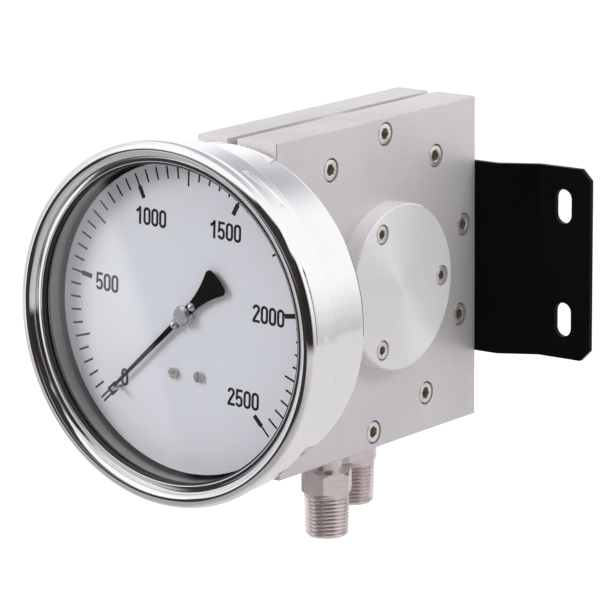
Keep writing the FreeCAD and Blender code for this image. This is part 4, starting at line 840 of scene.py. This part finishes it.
def patchGroup():
    tree, inp, out = newTree("studioPatch", "ShaderNodeTree",
                             [("Turn", "NodeSocketFloat", 0.0), ("Height", "NodeSocketFloat", 0.0),
                              ("Turn middle", "NodeSocketFloat", 0.0), ("Turn half", "NodeSocketFloat", 30.0),
                              ("Turn soft", "NodeSocketFloat", 1.0), ("Height middle", "NodeSocketFloat", 0.0),
                              ("Height half", "NodeSocketFloat", 30.0), ("Height soft", "NodeSocketFloat", 1.0),
                              ("Lean", "NodeSocketFloat", 0.0)],
                             [("Mask", "NodeSocketFloat")])
    take = inp.outputs
    above = calc(tree, "SUBTRACT", take["Height"], take["Height middle"])
    aside = calc(tree, "SUBTRACT", take["Turn"], take["Turn middle"])
    masks = []
    for label, off in (("Turn", calc(tree, "MULTIPLY_ADD", above, take["Lean"], aside)), ("Height", above)):
        away = calc(tree, "ABSOLUTE", calc(tree, "WRAP", off, 180.0, -180.0))
        inside = calc(tree, "SUBTRACT", take[label + " half"], away)
        edge = put(tree, "ShaderNodeMapRange", {"Value": calc(tree, "DIVIDE", inside, take[label + " soft"]),
                                                "From Min": -1.0, "From Max": 1.0}, interpolation_type="SMOOTHSTEP")
        masks.append(edge.outputs["Result"])
    tree.links.new(calc(tree, "MULTIPLY", *masks), out.inputs["Mask"])
    return tree


def makeStudio():
    material, tree, shader = newMaterial("mirroredStudio")
    place = put(tree, "ShaderNodeTexCoord").outputs["Object"]
    away = put(tree, "ShaderNodeVectorMath", {0: place, 1: studio["middle"]}, operation="SUBTRACT")
    part = put(tree, "ShaderNodeSeparateXYZ", {0: away.outputs[0]}).outputs
    turn = calc(tree, "DEGREES", calc(tree, "ARCTAN2", part["X"], calc(tree, "MULTIPLY", part["Y"], -1.0)))
    height = calc(tree, "DEGREES", calc(tree, "ARCSINE", calc(tree, "DIVIDE", part["Z"], studio["radius"])))
    group, colour = patchGroup(), (*studio["tone"], 1)
    for patch in studioPatches:
        values = {"Turn": turn, "Height": height, "Turn soft": patch["soft"][0], "Height soft": patch["soft"][1],
                  "Lean": patch.get("lean", 0.0)}
        for label, (low, high) in (("Turn", patch["turns"]), ("Height", patch["heights"])):
            values[label + " middle"] = (low + high) / 2
            values[label + " half"] = (high - low) / 2
        mask = put(tree, "ShaderNodeGroup", values, node_tree=group, label=patch["name"])
        colour = blend(tree, mask.outputs["Mask"], colour, (*patch["tone"], 1))
    feed(tree, shader, {"Base Color": (0, 0, 0, 1), "Specular IOR Level": 0.0, "Emission Color": colour,
                        "Emission Strength": 1.0})
    bm = bmesh.new()
    bmesh.ops.create_uvsphere(bm, u_segments=studio["around"], v_segments=studio["rows"], radius=studio["radius"],
                              matrix=Matrix.Translation(studio["middle"]))
    mesh = bpy.data.meshes.new("mirroredStudio")
    bm.to_mesh(mesh)
    bm.free()
    mesh.materials.append(material)
    ball = addPiece("mirroredStudio", mesh)
    ball.visible_camera = False
    ball.visible_diffuse = False
    ball.visible_shadow = False
    ball.visible_transmission = False


lamps = [
    dict(name="keyBox", place=(-1.2, -1.5, 0.75), size=(0.75, 0.75), power=21),
    dict(name="topBox", place=(0.45, -1.0, 1.6), size=(0.9, 0.7), power=3),
    dict(name="fillBox", place=(0.85, 0.25, 0.62), size=(0.6, 0.5), power=4.7),
]


def softbox(look):
    lamp = bpy.data.lights.new(look["name"], "AREA")
    lamp.shape = "RECTANGLE"
    lamp.size, lamp.size_y = look["size"]
    lamp.energy = look["power"]
    holder = bpy.data.objects.new(look["name"], lamp)
    scene.collection.objects.link(holder)
    holder.location = look["place"]
    holder.rotation_mode = "QUATERNION"
    holder.rotation_quaternion = (Vector(studio["middle"]) - Vector(look["place"])).to_track_quat("-Z", "Y")


makeFloor()
makeWorld()
makeStudio()
for look in lamps:
    softbox(look)
print("stage lit")

# camera
shot = dict(azimuth=37.207, elevation=12.548, roll=-0.427, distance=1828.917, focal=4048.693, right=27.768, up=3.533,
            sensor=36.0, pixels=600, clip=(0.1, 50.0))


def makeCamera():
    a, e, r = (math.radians(shot[k]) for k in ("azimuth", "elevation", "roll"))
    back = Vector((math.sin(a) * math.cos(e), -math.cos(a) * math.cos(e), math.sin(e)))
    right = Vector((math.cos(a), math.sin(a), 0))
    up = back.cross(right)
    across = math.cos(r) * right + math.sin(r) * up
    upward = -math.sin(r) * right + math.cos(r) * up
    place = (shot["right"] * across + shot["up"] * upward + shot["distance"] * back) * mm
    place.y += blockFrontY
    camera = bpy.data.objects.new("camera", bpy.data.cameras.new("camera"))
    scene.collection.objects.link(camera)
    turn = Matrix((across, upward, back)).transposed().to_4x4()
    camera.matrix_world = Matrix.Translation(place) @ turn
    camera.data.sensor_width = shot["sensor"]
    camera.data.lens = shot["sensor"] * shot["focal"] / shot["pixels"]
    camera.data.clip_start, camera.data.clip_end = shot["clip"]
    scene.camera = camera


makeCamera()

# bring the scene up to date
bpy.context.view_layer.update()
